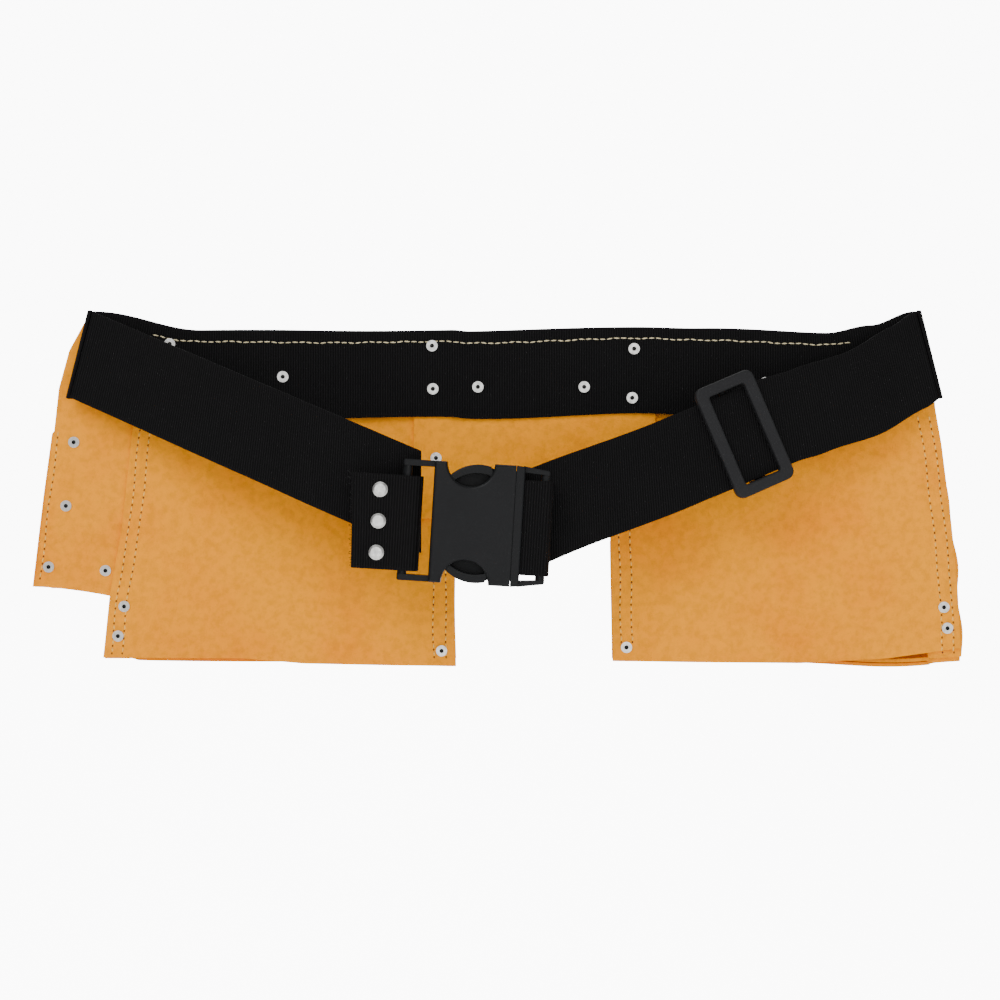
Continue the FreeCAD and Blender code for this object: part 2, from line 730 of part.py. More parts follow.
female = new_body("buckle_female", buckle_place)
window_left = f"(-{window_back} - {window_radius})"
window_right = f"(-{window_back} + {window_radius})"
shell = new_sketch(female, "XZ_Plane", f"-{shell_thick} / 2")
draw_outline(
    shell,
    (
        (f"-{shell_long}", f"-{half_tall}"),
        (window_left, f"-{half_tall}", window_radius),
        (window_right, f"-{half_tall}"),
        ("0", f"-{half_tall}"),
        ("0", half_tall),
        (window_right, half_tall, window_radius),
        (window_left, half_tall),
        (f"-{shell_long}", half_tall),
    ),
)
pad(female, shell, shell_thick)


def shell_rim(edge):
    """The long edges of the shell's two faces, apart from those at its mouth."""
    on_face = abs(abs(edge.CenterOfMass.y) - value(shell_thick) / 2) < SAME_PLACE
    at_mouth = edge.CenterOfMass.x >= -1 and abs(edge.CenterOfMass.z) <= 1
    return edge.Length > 5 and on_face and not at_mouth


round_edges(female, shell_round, shell_rim)
cavity = new_sketch(female, "YZ_Plane", "0")
cavity_half = f"({shell_thick} / 2 - {shell_wall})"
cavity_tall = f"({half_tall} - {shell_side})"
draw_outline(
    cavity,
    (
        (f"-{cavity_half}", f"-{cavity_tall}"),
        (cavity_half, f"-{cavity_tall}"),
        (cavity_half, cavity_tall),
        (f"-{cavity_half}", cavity_tall),
    ),
)
cut(female, cavity, f"{shell_long} - {shell_back}")
for sign in (1, -1):
    rear_wall = new_sketch(female, "XZ_Plane", f"-{shell_thick} / 2")
    below_window = f"{sign} * ({half_tall} - {window_radius} - 1.5)"
    draw_outline(
        rear_wall,
        (
            (f"{window_left} + 0.5", f"{sign} * ({half_tall} - {rear_foot})", f"{sign} * {rear_arc}"),
            (f"{window_right} + 0.5", f"{sign} * ({half_tall} - {rear_edge})"),
            (f"{window_right} + 0.5", below_window),
            (f"{window_left} + 0.5", below_window),
        ),
    )
    pad(female, rear_wall, shell_wall)
bars(female, f"(-{female_bar})", f"(-{shell_long} + 1)", rail_thick, "0")

# ---------------------------------------------------------------- buckle, male half

male = new_body("buckle_male_base", buckle_place)
plate = new_sketch(male, "XZ_Plane", f"-({shell_thick} / 2 - {slide_clear})")
draw_outline(
    plate,
    (
        (slide_clear, f"-{half_tall}"),
        (f"{slide_clear} + {male_plate}", f"-{half_tall} + 0.6"),
        (f"{slide_clear} + {male_plate}", f"{half_tall} - 0.6"),
        (slide_clear, half_tall),
    ),
)
pad(male, plate, f"{shell_thick} - 2 * {slide_clear}")
round_edges(male, plate_round, lambda e: e.Length > 20 and e.CenterOfMass.x > value(slide_clear) + 1)
tongue = new_sketch(male, "XZ_Plane", f"-{rail_thick} / 2")
draw_outline(
    tongue,
    (
        (f"{slide_clear} + 1", "-5"),
        (f"{slide_clear} + 1", "5"),
        (f"2 - {tongue_long}", "3.4"),
        (f"-{tongue_long}", "0"),
        (f"2 - {tongue_long}", "-3.4"),
    ),
)
pad(male, tongue, rail_thick)
lip_half = f"({cavity_half} - {lip_clear})"
lip_tall = f"({cavity_tall} - {lip_clear})"
lip = new_sketch(male, "XZ_Plane", f"-{lip_half}")
draw_outline(
    lip,
    (
        (f"-{lip_long}", f"-{lip_tall}"),
        (f"{slide_clear} + 1", f"-{lip_tall}"),
        (f"{slide_clear} + 1", lip_tall),
        (f"-{lip_long}", lip_tall),
    ),
)
pad(male, lip, f"2 * {lip_half}")
bars(male, male_bar, f"({slide_clear} + {male_plate} - 1)", rail_thick, rail_taper)


def prong(label, sign):
    """A springy arm with the curved finger pad that shows in its window."""
    body = new_body(label, buckle_place)
    sketch = new_sketch(body, "XZ_Plane", f"-{prong_thick} / 2")
    shoulder = f"({window_right} - 1.9)"
    tip = f"({window_left} + 1.3)"
    draw_outline(
        sketch,
        (
            ("-1.2", f"{sign} * ({prong_root} - 2.3)"),
            ("-1.2", f"{sign} * ({prong_root} + 2.3)"),
            (f"{shoulder} + 1.8", f"{sign} * ({prong_root} + 5.1)"),
            (shoulder, f"{sign} * ({half_tall} - 1.4)", f"{-sign} * 22"),
            (tip, f"{sign} * ({half_tall} - 7.6)"),
            (f"{tip} + 1.8", f"{sign} * ({half_tall} - 10.5)", f"{sign} * 21"),
            (f"{shoulder} - 0.4", f"{sign} * ({half_tall} - 5.9)"),
            (f"{shoulder} + 0.7", f"{sign} * ({prong_root} + 1.5)"),
        ),
    )
    pad(body, sketch, prong_thick)
    round_edges(
        body,
        prong_round,
        lambda e: abs(e.CenterOfMass.y) > value(prong_thick) / 2 - SAME_PLACE
        and abs(e.CenterOfMass.z) > value(half_tall) - value(pad_depth)
        and e.Length > value(pad_edge),
    )


prong("buckle_prong_upper", 1)
prong("buckle_prong_lower", -1)
wrap("male_webbing_loop", male_bar, wrap_inner, "9.5", "9.5", 1, buckle_place)

# ---------------------------------------------------------------- right strap and its return

strap_rise = Rotation(Vector(0, 1, 0), -value(strap_angle))
strap_turn = strap_rise * Rotation(Vector(0, 0, 1), value(right_strap_pitch))
strap_place = Placement(
    Vector(value(crease_half), -value(strap_face), value(crease_rise)),
    strap_turn,
)


def strap_layer(label, corners, front, place):
    """A flat layer of webbing in the right strap's own frame."""
    body = new_body(label, place)
    sketch = new_sketch(body, "XZ_Plane", f"-({front} + {web_thick})")
    draw_outline(sketch, corners)
    pad(body, sketch, web_thick)


strap_layer(
    "right_strap_webbing",
    (
        (f"-{right_strap_long}", f"-{half_web}"),
        (f"-{half_web} * {crease_slope} - {strap_clear}", f"-{half_web}"),
        (f"{half_web} * {crease_slope} - {strap_clear}", half_web),
        (f"-{right_strap_long}", half_web),
    ),
    f"(-{half_thick})",
    strap_place,
)

glide_hold = f"({half_thick} + {slide_clear})"
glide_wrap = f"({glide_bar} + {web_thick})"
glide_axis = f"({glide_hold} + {glide_wrap})"
fan = Rotation(Vector(0, 1, 0), -value(return_fan))
return_spot = strap_place.multVec(Vector(-value(return_start), 0, 0))
strap_layer(
    "strap_return_webbing",
    (
        ("0", f"-{half_web}"),
        (f"{return_start} - {glide_back} - {return_gap}", f"-{half_web}"),
        (f"{return_start} - {glide_back} - {return_gap}", half_web),
        ("0", half_web),
    ),
    glide_hold,
    Placement(return_spot, strap_turn * fan),
)

# ---------------------------------------------------------------- slide adjuster

glide_spot = strap_place.multVec(Vector(-value(glide_back), 0, 0))
glide_place = Placement(glide_spot, strap_turn)
glide = new_body("triglide_frame", glide_place)
half_long = f"({glide_long} / 2)"
half_wide = f"({glide_wide} / 2)"
face = new_sketch(glide, "XZ_Plane", glide_hold)
draw_outline(
    face,
    (
        (f"-{half_long}", f"-{half_wide} + {glide_corner}", f"-{glide_corner}"),
        (f"-{half_long} + {glide_corner}", f"-{half_wide}"),
        (f"{half_long} - {glide_corner}", f"-{half_wide}", f"-{glide_corner}"),
        (half_long, f"-{half_wide} + {glide_corner}"),
        (half_long, f"{half_wide} - {glide_corner}", f"-{glide_corner}"),
        (f"{half_long} - {glide_corner}", half_wide),
        (f"-{half_long} + {glide_corner}", half_wide, f"-{glide_corner}"),
        (f"-{half_long}", f"{half_wide} - {glide_corner}"),
    ),
)
inner_long = f"({half_long} - {glide_rail})"
inner_wide = f"({half_web} + {glide_side})"
draw_outline(
    face,
    (
        (f"-{inner_long}", f"-{inner_wide}"),
        (inner_long, f"-{inner_wide}"),
        (inner_long, inner_wide),
        (f"-{inner_long}", inner_wide),
    ),
)
pad(glide, face, glide_thick)
round_edges(
    glide,
    "1.3",
    lambda e: e.CenterOfMass.y < -value(glide_hold) - value(glide_thick) + 0.01
    or (abs(e.tangentAt(e.FirstParameter).y) > 0.9 and abs(e.CenterOfMass.x) < value(inner_long) + 0.1),
)
for sign in (1, -1):
    ends = new_sketch(glide, "XZ_Plane", f"-({glide_axis} + {glide_bar})")
    draw_outline(
        ends,
        (
            ("-5", f"{sign} * {inner_wide}"),
            ("5", f"{sign} * {inner_wide}"),
            ("5", f"{sign} * ({half_wide} - 2)"),
            ("-5", f"{sign} * ({half_wide} - 2)"),
        ),
    )
    pad(glide, ends, f"{glide_axis} + {glide_bar} + {glide_hold} + 0.5")
hidden_bar = new_sketch(glide, "XY_Plane")
draw_circle(hidden_bar, "0", glide_axis, glide_bar)
pad(glide, hidden_bar, f"2 * {half_wide} - 6", both_sides=True)

sewn_place = Placement(glide_place.multVec(Vector(0, value(glide_axis), 0)), strap_turn)
wrap("triglide_webbing_end", "0", glide_bar, glide_tail, glide_tail, 1, sewn_place)

# ---------------------------------------------------------------- check and write

document.recompute()
bad = [item.Label for item in document.Objects if "Invalid" in item.State or "Error" in item.State]
if bad:
    raise RuntimeError(f"these did not build: {bad}")
os.makedirs("parts", exist_ok=True)
for piece in pieces:
    if piece.Shape.isNull() or not piece.Shape.isValid():
        raise RuntimeError(f"{piece.Label} has no valid shape")
    piece.Shape.exportStep(f"parts/{piece.Label}.step")
print(len(pieces), "pieces written")
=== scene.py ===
"""Leather tool belt: the soft goods, threads and finishes round its CAD frame.

X runs along the band, Z is up, the wearer's side is -Y and the pockets open on the +Y side.
Lengths are in metres, apart from the outline tables, which are in millimetres.
"""

import math

import bmesh
import bpy
from mathutils import Matrix, Vector


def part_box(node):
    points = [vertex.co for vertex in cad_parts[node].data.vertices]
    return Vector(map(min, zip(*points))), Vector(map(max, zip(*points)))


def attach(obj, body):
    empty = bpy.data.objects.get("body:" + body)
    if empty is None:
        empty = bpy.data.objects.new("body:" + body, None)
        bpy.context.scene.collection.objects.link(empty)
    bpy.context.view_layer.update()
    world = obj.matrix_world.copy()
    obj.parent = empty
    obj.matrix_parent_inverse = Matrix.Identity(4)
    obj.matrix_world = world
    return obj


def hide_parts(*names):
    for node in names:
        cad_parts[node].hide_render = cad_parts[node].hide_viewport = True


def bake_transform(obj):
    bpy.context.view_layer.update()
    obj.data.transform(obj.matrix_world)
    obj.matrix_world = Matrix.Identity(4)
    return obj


bl_info = {
    "name": "Leather tool belt",
    "version": (1, 0, 0),
    "blender": (4, 5, 0),
    "location": "View3D > Sidebar > Tool belt",
    "description": "Builds the leather, webbing and thread of a tool belt round its CAD frame",
    "category": "Object",
}

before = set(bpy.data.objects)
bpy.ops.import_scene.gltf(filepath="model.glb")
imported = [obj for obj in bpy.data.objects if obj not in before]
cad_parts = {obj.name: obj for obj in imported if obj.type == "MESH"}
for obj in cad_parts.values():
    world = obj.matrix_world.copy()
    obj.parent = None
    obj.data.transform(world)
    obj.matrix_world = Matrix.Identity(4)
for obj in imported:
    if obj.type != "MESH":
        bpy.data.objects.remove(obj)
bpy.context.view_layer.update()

MM = 0.001
SHEET_UV = "Sheet"

# ---------------------------------------------------------------- places that the pieces share

CREASE_HALF = 240.6 * MM
CREASE_RISE = 10.8 * MM
CREASE_TILT = math.radians(14)
STRAP_STOP = 41 * MM
STRAP_FALL = 85.3 * MM
STRAP_ANGLE = math.atan(STRAP_FALL / (CREASE_HALF - STRAP_STOP))
STRAP_DEPTH = 3.3 * MM
LEFT_LONG = (CREASE_HALF - STRAP_STOP) / math.cos(STRAP_ANGLE)
LEFT_REACH = 49.2 * MM
CREASE_SLOPE = math.tan(STRAP_ANGLE - CREASE_TILT)
RIGHT_END = 254 * MM
RIGHT_PITCH = math.radians(10.2)
GLIDE_BACK = 120.6 * MM
RETURN_START = 222 * MM

BAND_MIDDLE = 0.9 * MM
LEATHER_TOP = 21 * MM
CENTRE_LAYER = 2.8 * MM
POUCH_LAYER = 4.8 * MM
SIDE_LAYER = 6.8 * MM

LEFT_CREASE = Vector((-CREASE_HALF, -STRAP_DEPTH, CREASE_RISE))
RIGHT_CREASE = Vector((CREASE_HALF, -STRAP_DEPTH, CREASE_RISE))
LEFT_TURN = Matrix.Rotation(STRAP_ANGLE, 3, "Y")
RIGHT_TURN = Matrix.Rotation(-STRAP_ANGLE, 3, "Y") @ Matrix.Rotation(RIGHT_PITCH, 3, "Z")
BUCKLE_SPOT = Vector((4.3, -58, -85.7)) * MM
BUCKLE_TURN = Matrix.Rotation(math.radians(3.5), 3, "Y")
WRAP_RADIUS = 3.7 * MM
FEMALE_BAR = -57 * MM
FLAP_LONG = 27.5 * MM
FLAP_SLANT = 2.2 * MM
FLAP_SLACK = 4 * MM
FLAP_RETURN = 17 * MM
FLAP_DROP = 1.8 * MM
MALE_BAR = 15.7 * MM
MALE_LAYER = 10.9 * MM
MALE_DROP = 0.4 * MM

CREASE_GAP = 0.7 * MM
STRAP_SHORT = 3.6 * MM
RETURN_LIFT = 2.1 * MM
GLIDE_AXIS = 5.0 * MM
GLIDE_WRAP = 2.9 * MM
GLIDE_TURN = 0.1
RIGHT_BOW = (
    (0, 0), (14, -2.4), (45, -5.6), (80, -2.6), (100, -0.7), (120, -0.5), (140, -0.3), (160, 0.1),
    (243, 3.6),
)


# ---------------------------------------------------------------- small sums


def mix(a, b, t):
    return a + (b - a) * t


def ease(t):
    t = min(1.0, max(0.0, t))
    return t * t * (3 - 2 * t)


def hill(x, middle, width):
    """A soft bump, 1 at its middle."""
    return math.exp(-(((x - middle) / width) ** 2))


def along(points, x):
    """A value eased between (place, value) points, with the places rising."""
    if x <= points[0][0]:
        return points[0][1]
    for (x0, y0), (x1, y1) in zip(points, points[1:]):
        if x <= x1:
            return mix(y0, y1, ease((x - x0) / (x1 - x0)))
    return points[-1][1]


def line(points, x):
    """A value on straight runs between (place, value) points, with the places rising."""
    if x <= points[0][0]:
        return points[0][1]
    for (x0, y0), (x1, y1) in zip(points, points[1:]):
        if x <= x1:
            return mix(y0, y1, (x - x0) / (x1 - x0))
    return points[-1][1]


def soft_ramp(x, start, end, rounding):
    """0 before start and 1 after end, straight between them, with rounded corners."""

    def knee(d):
        if d <= -rounding:
            return 0.0
        if d >= rounding:
            return d
        return (d + rounding) ** 2 / (4 * rounding)

    return (knee(x - start) - knee(x - end)) / (end - start)


def tubular_rivet_spots():
    """The middles of the tubular rivets, which hold the leather flat."""
    boxes = [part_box(name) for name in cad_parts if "rivet" in name and not name.startswith("cap")]
    return [(low + high) / 2 for low, high in boxes]


RIVET_SPOTS = tubular_rivet_spots()


def drape(x, z):
    """How far the hanging leather waves towards the back: more towards its lower edge, none at a rivet."""
    low = ease((-z - 30 * MM) / (120 * MM))
    nearest = min(math.hypot(x - spot.x, z - spot.z) for spot in RIVET_SPOTS)
    loose = ease((nearest - 5 * MM) / (22 * MM))
    wave = math.sin(x * 38 + 0.7) * 0.7 + math.sin(x * 71 + z * 22) * 0.35
    return wave * 0.8 * MM * low * loose


# ---------------------------------------------------------------- finishes


class Nodes:
    """A material's node tree, with short calls to add and join nodes."""

    def __init__(self, name):
        self.material = bpy.data.materials.new(name)
        self.material.use_nodes = True
        self.tree = self.material.node_tree
        self.shader = self.tree.nodes["Principled BSDF"]

    def add(self, kind, settings=None, **inputs):
        node = self.tree.nodes.new(kind)
        for key, setting in (settings or {}).items():
            setattr(node, key, setting)
        for key, source in inputs.items():
            self.feed(node.inputs[key.replace("_", " ")], source)
        return node

    def feed(self, socket, source):
        if isinstance(source, bpy.types.NodeSocket):
            self.tree.links.new(source, socket)
        else:
            socket.default_value = source

    def math(self, operation, a, b=0.0):
        node = self.add("ShaderNodeMath", {"operation": operation})
        self.feed(node.inputs[0], a)
        self.feed(node.inputs[1], b)
        return node.outputs[0]

    def noise(self, vector, scale, detail=3.0, roughness=0.5):
        node = self.add("ShaderNodeTexNoise", Vector=vector, Scale=scale, Detail=detail, Roughness=roughness)
        return node.outputs["Fac"]

    def ramp(self, source, *stops):
        node = self.add("ShaderNodeValToRGB", Fac=source)
        marks = node.color_ramp.elements
        marks[0].position, marks[0].color = stops[0]
        marks[1].position, marks[1].color = stops[-1]
        for position, colour in stops[1:-1]:
            marks.new(position).color = colour
        return node.outputs["Color"]

    def blend(self, kind, amount, a, b):
        node = self.add("ShaderNodeMix", {"data_type": "RGBA", "blend_type": kind})
        self.feed(node.inputs["Factor"], amount)
        self.feed(node.inputs[6], a)
        self.feed(node.inputs[7], b)
        return node.outputs[2]

    def bump(self, height, strength, distance):
        node = self.add("ShaderNodeBump", Height=height, Strength=strength, Distance=distance)
        self.feed(self.shader.inputs["Normal"], node.outputs["Normal"])

    def set(self, **sockets):
        for key, source in sockets.items():
            self.feed(self.shader.inputs[key.replace("_", " ")], source)


def scaled(colour, factor):
    return tuple(min(1.0, c * factor) for c in colour[:3]) + (1.0,)


def grey(level):
    return (level, level, level, 1.0)


def leather_finish(name, colour, shade, nap):
    """Napped split leather: cloudy colour, a short nap and scattered darker pores."""
    n = Nodes(name)
    place = n.add("ShaderNodeTexCoord").outputs["Object"]
    cloud = n.noise(place, 14.0, 5.0, 0.6)
    fleck = n.noise(place, 210.0, 4.0, 0.65)
    fibre = n.noise(place, 1500.0, 3.0, 0.7)
    pores = n.add("ShaderNodeTexVoronoi", Vector=place, Scale=420.0).outputs["Distance"]
    base = n.ramp(cloud, (0.3, shade), (0.52, colour), (0.75, scaled(colour, 1.06)))
    flecked = n.blend("MULTIPLY", 0.55, base, n.ramp(fleck, (0.36, grey(0.72)), (0.58, grey(1.0))))
    pored = n.blend("MULTIPLY", 0.3, flecked, n.ramp(pores, (0.04, grey(0.55)), (0.16, grey(1.0))))
    height = n.math("ADD", n.math("MULTIPLY", fibre, 0.6), n.math("MULTIPLY", fleck, 0.9))
    n.bump(height, nap, 0.0006)
    rough = n.math("MULTIPLY_ADD", fleck, 0.16)
    rough.node.inputs[2].default_value = 0.78
    n.set(Base_Color=pored, Roughness=rough, Specular_IOR_Level=0.01)
    return n.material


def webbing_finish(name, colour, rib):
    """Woven nylon: ribs across the width, finer yarns along it, and paler woven edges, with the rib tops
    painted lighter and the hollows darker as painted highlight and shade.
    """
    n = Nodes(name)
    flat = n.add("ShaderNodeUVMap", {"uv_map": SHEET_UV}).outputs["UV"]
    place = n.add("ShaderNodeTexCoord").outputs["Object"]
    split = n.add("ShaderNodeSeparateXYZ", Vector=flat)
    turns = 2 * math.pi
    uneven = n.math("MULTIPLY", n.noise(place, 260.0, 2.0), 1.1)
    ribs = n.math("SINE", n.math("ADD", n.math("MULTIPLY", split.outputs["X"], turns / rib), uneven))
    yarns = n.math("SINE", n.math("MULTIPLY", split.outputs["Y"], turns / (rib * 0.62)))
    crossed = n.math("MULTIPLY", ribs, yarns)
    weave = n.math("ADD", n.math("MULTIPLY", ribs, 0.34), n.math("MULTIPLY", crossed, 0.16))
    raised = n.math("ADD", weave, 0.5)
    worn = n.noise(place, 55.0, 5.0, 0.65)
    # Painted highlight and shade: the yarn colour runs from dark in the rib hollows to bright on the rib
    # tops.
    yarn = n.ramp(raised, (0.12, scaled(colour, 0.42)), (0.8, scaled(colour, 2.6)))
    tinted = n.blend("MULTIPLY", 0.6, yarn, n.ramp(worn, (0.3, grey(0.7)), (0.7, grey(1.0))))
    edge = n.math("ABSOLUTE", split.outputs["Y"])
    rim = n.ramp(n.math("MULTIPLY", edge, 40.0), (0.91, grey(0.0)), (0.97, grey(1.0)))
    n.bump(n.math("ADD", raised, n.math("MULTIPLY", n.noise(place, 1700.0), 0.3)), 0.85, 0.00045)
    n.set(
        Base_Color=n.blend("MIX", n.math("MULTIPLY", rim, 0.35), tinted, scaled(colour, 2.2)),
        Roughness=n.ramp(raised, (0.1, grey(0.82)), (0.9, grey(0.58))),
        Specular_IOR_Level=0.09,
    )
    return n.material


def thread_finish(name, colour):
    """Twisted thread, with a short-pitched twist and a slight soil."""
    n = Nodes(name)
    place = n.add("ShaderNodeTexCoord").outputs["Object"]
    twist = n.add("ShaderNodeTexWave", {"bands_direction": "DIAGONAL"}, Vector=place, Scale=520.0)
    soil = n.noise(place, 90.0, 4.0)
    dyed = n.ramp(soil, (0.3, scaled(colour, 0.78)), (0.7, colour))
    n.bump(twist.outputs["Fac"], 0.6, 0.0002)
    n.set(Base_Color=dyed, Roughness=n.ramp(soil, (0.2, grey(0.6)), (0.8, grey(0.8))), Specular_IOR_Level=0.3)
    return n.material


def plastic_finish(name, colour, gloss, grain):
    """Moulded plastic: a fine moulded grain, faint scuffs and handling wear."""
    n = Nodes(name)
    place = n.add("ShaderNodeTexCoord").outputs["Object"]
    moulded = n.noise(place, 1300.0, 3.0, 0.6)
    scuffs = n.noise(n.add("ShaderNodeMapping", Vector=place, Scale=(35.0, 35.0, 320.0)).outputs[0], 6.0, 5.0)
    handled = n.noise(place, 60.0, 4.0)
    dusty = n.ramp(handled, (0.35, colour), (0.8, scaled(colour, 1.35)))
    scuffed = n.blend("MIX", n.ramp(scuffs, (0.66, grey(0.0)), (0.8, grey(0.35))), dusty, scaled(colour, 2.6))
    n.bump(n.math("ADD", moulded, n.math("MULTIPLY", scuffs, 0.4)), grain, 0.0003)
    n.set(
        Base_Color=scuffed,
        Roughness=n.ramp(handled, (0.3, grey(gloss)), (0.8, grey(gloss + 0.14))),
        Specular_IOR_Level=0.15,
    )
    return n.material


def nickel_finish(name, colour):
    """Plated steel with fine turning marks, dull patches and small dents."""
    n = Nodes(name)
    place = n.add("ShaderNodeTexCoord").outputs["Object"]
    dull = n.noise(place, 420.0, 5.0, 0.6)
    marks = n.add("ShaderNodeTexVoronoi", Vector=place, Scale=900.0).outputs["Distance"]
    n.bump(n.math("ADD", dull, n.math("MULTIPLY", marks, 0.5)), 0.3, 0.0002)
    n.set(
        Base_Color=n.ramp(dull, (0.3, scaled(colour, 0.62)), (0.65, colour)),
        Metallic=1.0,
        Roughness=n.ramp(dull, (0.3, grey(0.42)), (0.7, grey(0.24))),
    )
    return n.material


PAPER_SEEN = 9.0
PAPER_GLOW = 0.35


def stage_finish(name, level):
    """Matt studio paper with a hardly seen tooth, lit from behind."""
    n = Nodes(name)
    place = n.add("ShaderNodeTexCoord").outputs["Object"]
    tooth = n.noise(place, 300.0, 3.0)
    seen = n.add("ShaderNodeLightPath").outputs["Is Camera Ray"]
    glow = n.math("MULTIPLY_ADD", seen, PAPER_SEEN)
    glow.node.inputs[2].default_value = PAPER_GLOW
    n.set(
        Base_Color=n.ramp(tooth, (0.3, grey(level * 0.985)), (0.7, grey(level))),
        Roughness=0.95,
        Emission_Color=grey(1.0),
        Emission_Strength=glow,
    )
    return n.material


FINISHES = {}


def finish(name):
    """One of the shared finishes, made the first time that it is asked for."""
    if name not in FINISHES:
        look = bpy.context.scene.tool_belt
        makers = {
            "leather": lambda: leather_finish("leather", look.leather_colour, look.leather_shade, 0.55),
            "leather_edge": lambda: leather_finish(
                "leather_edge", scaled(look.leather_colour, 0.86), look.leather_shade, 0.9
            ),
            "webbing": lambda: webbing_finish("webbing", look.webbing_colour, look.rib_pitch),
            "leather_thread": lambda: thread_finish("leather_thread", look.leather_thread_colour),
            "band_thread": lambda: thread_finish("band_thread", look.band_thread_colour),
            "black_thread": lambda: thread_finish("black_thread", scaled(look.webbing_colour, 1.4)),
            # Painted shade: dark red-brown beads between the stitches stand in for the dark inside of the
            # needle holes.
            "needle_hole_shade": lambda: thread_finish("needle_hole_shade", look.hole_shade_colour),
            "buckle_plastic": lambda: plastic_finish("buckle_plastic", look.buckle_colour, 0.34, 0.22),
            "adjuster_plastic": lambda: plastic_finish("adjuster_plastic", look.adjuster_colour, 0.5, 0.4),
            "nickel": lambda: nickel_finish("nickel", look.nickel_colour),
            # Painted shade: a nearly black plated finish for the plugs in the rivets' hollow middles,
            # standing in for the dark of the deep holes.
            "painted_bore_shade": lambda: nickel_finish("painted_bore_shade", scaled(look.nickel_colour, 0.03)),
            "stage": lambda: stage_finish("stage", look.stage_level),
        }
        FINISHES[name] = makers[name]()
    return FINISHES[name]


# ---------------------------------------------------------------- making pieces


def link(name, bm, *finishes):
    """A new object with this mesh, smooth shaded, in the scene."""
    mesh = bpy.data.meshes.new(name)
    bm.to_mesh(mesh)
    bm.free()
    for item in finishes:
        mesh.materials.append(finish(item))
    mesh.shade_smooth()
    piece = bpy.data.objects.new(name, mesh)
    bpy.context.scene.collection.objects.link(piece)
    return piece


def sheet_piece(name, columns, rows, place, flat, thickness, finishes):
    """A sheet with real thickness.

    place(s, t) gives the middle surface's point, with s and t from 0 to 1, and flat(s, t) its
    place on the flat cut, so that a weave follows the surface.
    """
    bm = bmesh.new()
    uv = bm.loops.layers.uv.new(SHEET_UV)
    bmesh.ops.create_grid(bm, x_segments=columns, y_segments=rows, size=0.5)
    share = {v: (v.co.x + 0.5, v.co.y + 0.5) for v in bm.verts}
    for face in bm.faces:
        for loop in face.loops:
            loop[uv].uv = flat(*share[loop.vert])
    for vert, (s, t) in share.items():
        vert.co = place(s, t)
    piece = link(name, bm, *finishes)
    wall = piece.modifiers.new("Thickness", "SOLIDIFY")
    wall.thickness = thickness
    wall.offset = 0
    wall.use_even_offset = True
    wall.material_offset_rim = len(finishes) - 1
    rim = piece.modifiers.new("Rim", "BEVEL")
    rim.width = thickness * 0.22
    rim.segments = 2
    rim.limit_method = "ANGLE"
    rim.angle_limit = math.radians(50)
    return piece


def leather_piece(name, columns, rows, place, size):
    look = bpy.context.scene.tool_belt
    finishes = ("leather", "leather_edge")
    wide, tall = size
    flat = lambda s, t: (s * wide, t * tall)
    piece = sheet_piece(name, columns, rows, place, flat, look.leather_thickness, finishes)
    return piece


def webbing_piece(name, columns, rows, place, length):
    """Webbing with s along its length and t across its width."""
    look = bpy.context.scene.tool_belt
    flat = lambda s, t: (s * length, (t - 0.5) * look.web_width)
    piece = sheet_piece(name, columns, rows, place, flat, look.web_thickness, ("webbing",))
    return piece


def stitch_row(name, path, pitch, thread, out, body, long=0.7, wide=0.52):
    """Stitches along a path of points, each a flattened bead lying on the surface.

    out is the direction that the surface faces.
    """
    bm = bmesh.new()
    spots, carried = [], 0.0
    for a, b in zip(path, path[1:]):
        length = (b - a).length
        while carried < length:
            spots.append((a.lerp(b, carried / length), (b - a).normalized()))
            carried += pitch
        carried -= length
    for number, (spot, way) in enumerate(spots):
        side = way.cross(out).normalized()
        lean = 0.12 * math.sin(number * 2.3)
        turn = Matrix((way + side * lean, side - way * lean, out)).transposed().to_4x4()
        size = Matrix.Diagonal((pitch * long / 2, wide * MM, 0.4 * MM, 1))
        bmesh.ops.create_uvsphere(
            bm, u_segments=6, v_segments=4, radius=1, matrix=Matrix.Translation(spot) @ turn @ size
        )
    bmesh.ops.recalc_face_normals(bm, faces=bm.faces)
    piece = link(name, bm, thread)
    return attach(piece, body)


# ---------------------------------------------------------------- leather outlines

# Side edges as (height, across) and lower edges as (across, height), in millimetres.
LEFT_OUTER = ((-165, -230.5), (-126, -226.5), (-86, -219.5), (-30, -213.5), (21, -207.5))
RIGHT_OUTER = ((-165, 262.5), (-147, 261.5), (-119, 260), (-80, 256), (-40, 251), (-20, 247.5), (21, 243.5))
SIDE_OUTER = ((-122, -270.5), (-70, -264.3), (-31, -259), (-8, -256.5), (14, -250.5), (35, -239))
LEFT_FLOOR = ((-231, -162.5), (-150, -163), (-115, -166), (-28, -167.5))
RIGHT_FLOOR = ((61, -164.5), (170, -165.8), (220, -163), (263, -157))


def edge_at(edge, z):
    """An outline's place across at a height."""
    return line(edge, z / MM) * MM


def floor_at(floor, x):
    return line(floor, x / MM) * MM


def left_edges(z):
    return edge_at(LEFT_OUTER, z), -28 * MM + 0.5 * MM * math.sin(z * 60)


def right_edges(z):
    return (61.5 + 0.8 * math.sin(z * 25)) * MM, edge_at(RIGHT_OUTER, z)


def panel_place(edges, low, high, depth):
    """A flat panel's surface: its side edges by height, its lower and upper edges by place across."""

    def place(s, t):
        guess = mix(*edges(mix(low(0), high, t)), s)
        z = mix(low(guess), high, t)
        x = mix(*edges(z), s)
        return Vector((x, depth + drape(x, z), z))

    return place


# ---------------------------------------------------------------- settings


def colour_setting(name, note, default):
    return bpy.props.FloatVectorProperty(
        name=name, description=note, subtype="COLOR", size=4, min=0, max=1, default=default
    )


def length_setting(name, note, default):
    return bpy.props.FloatProperty(name=name, description=note, default=default, min=0.0001, unit="LENGTH")


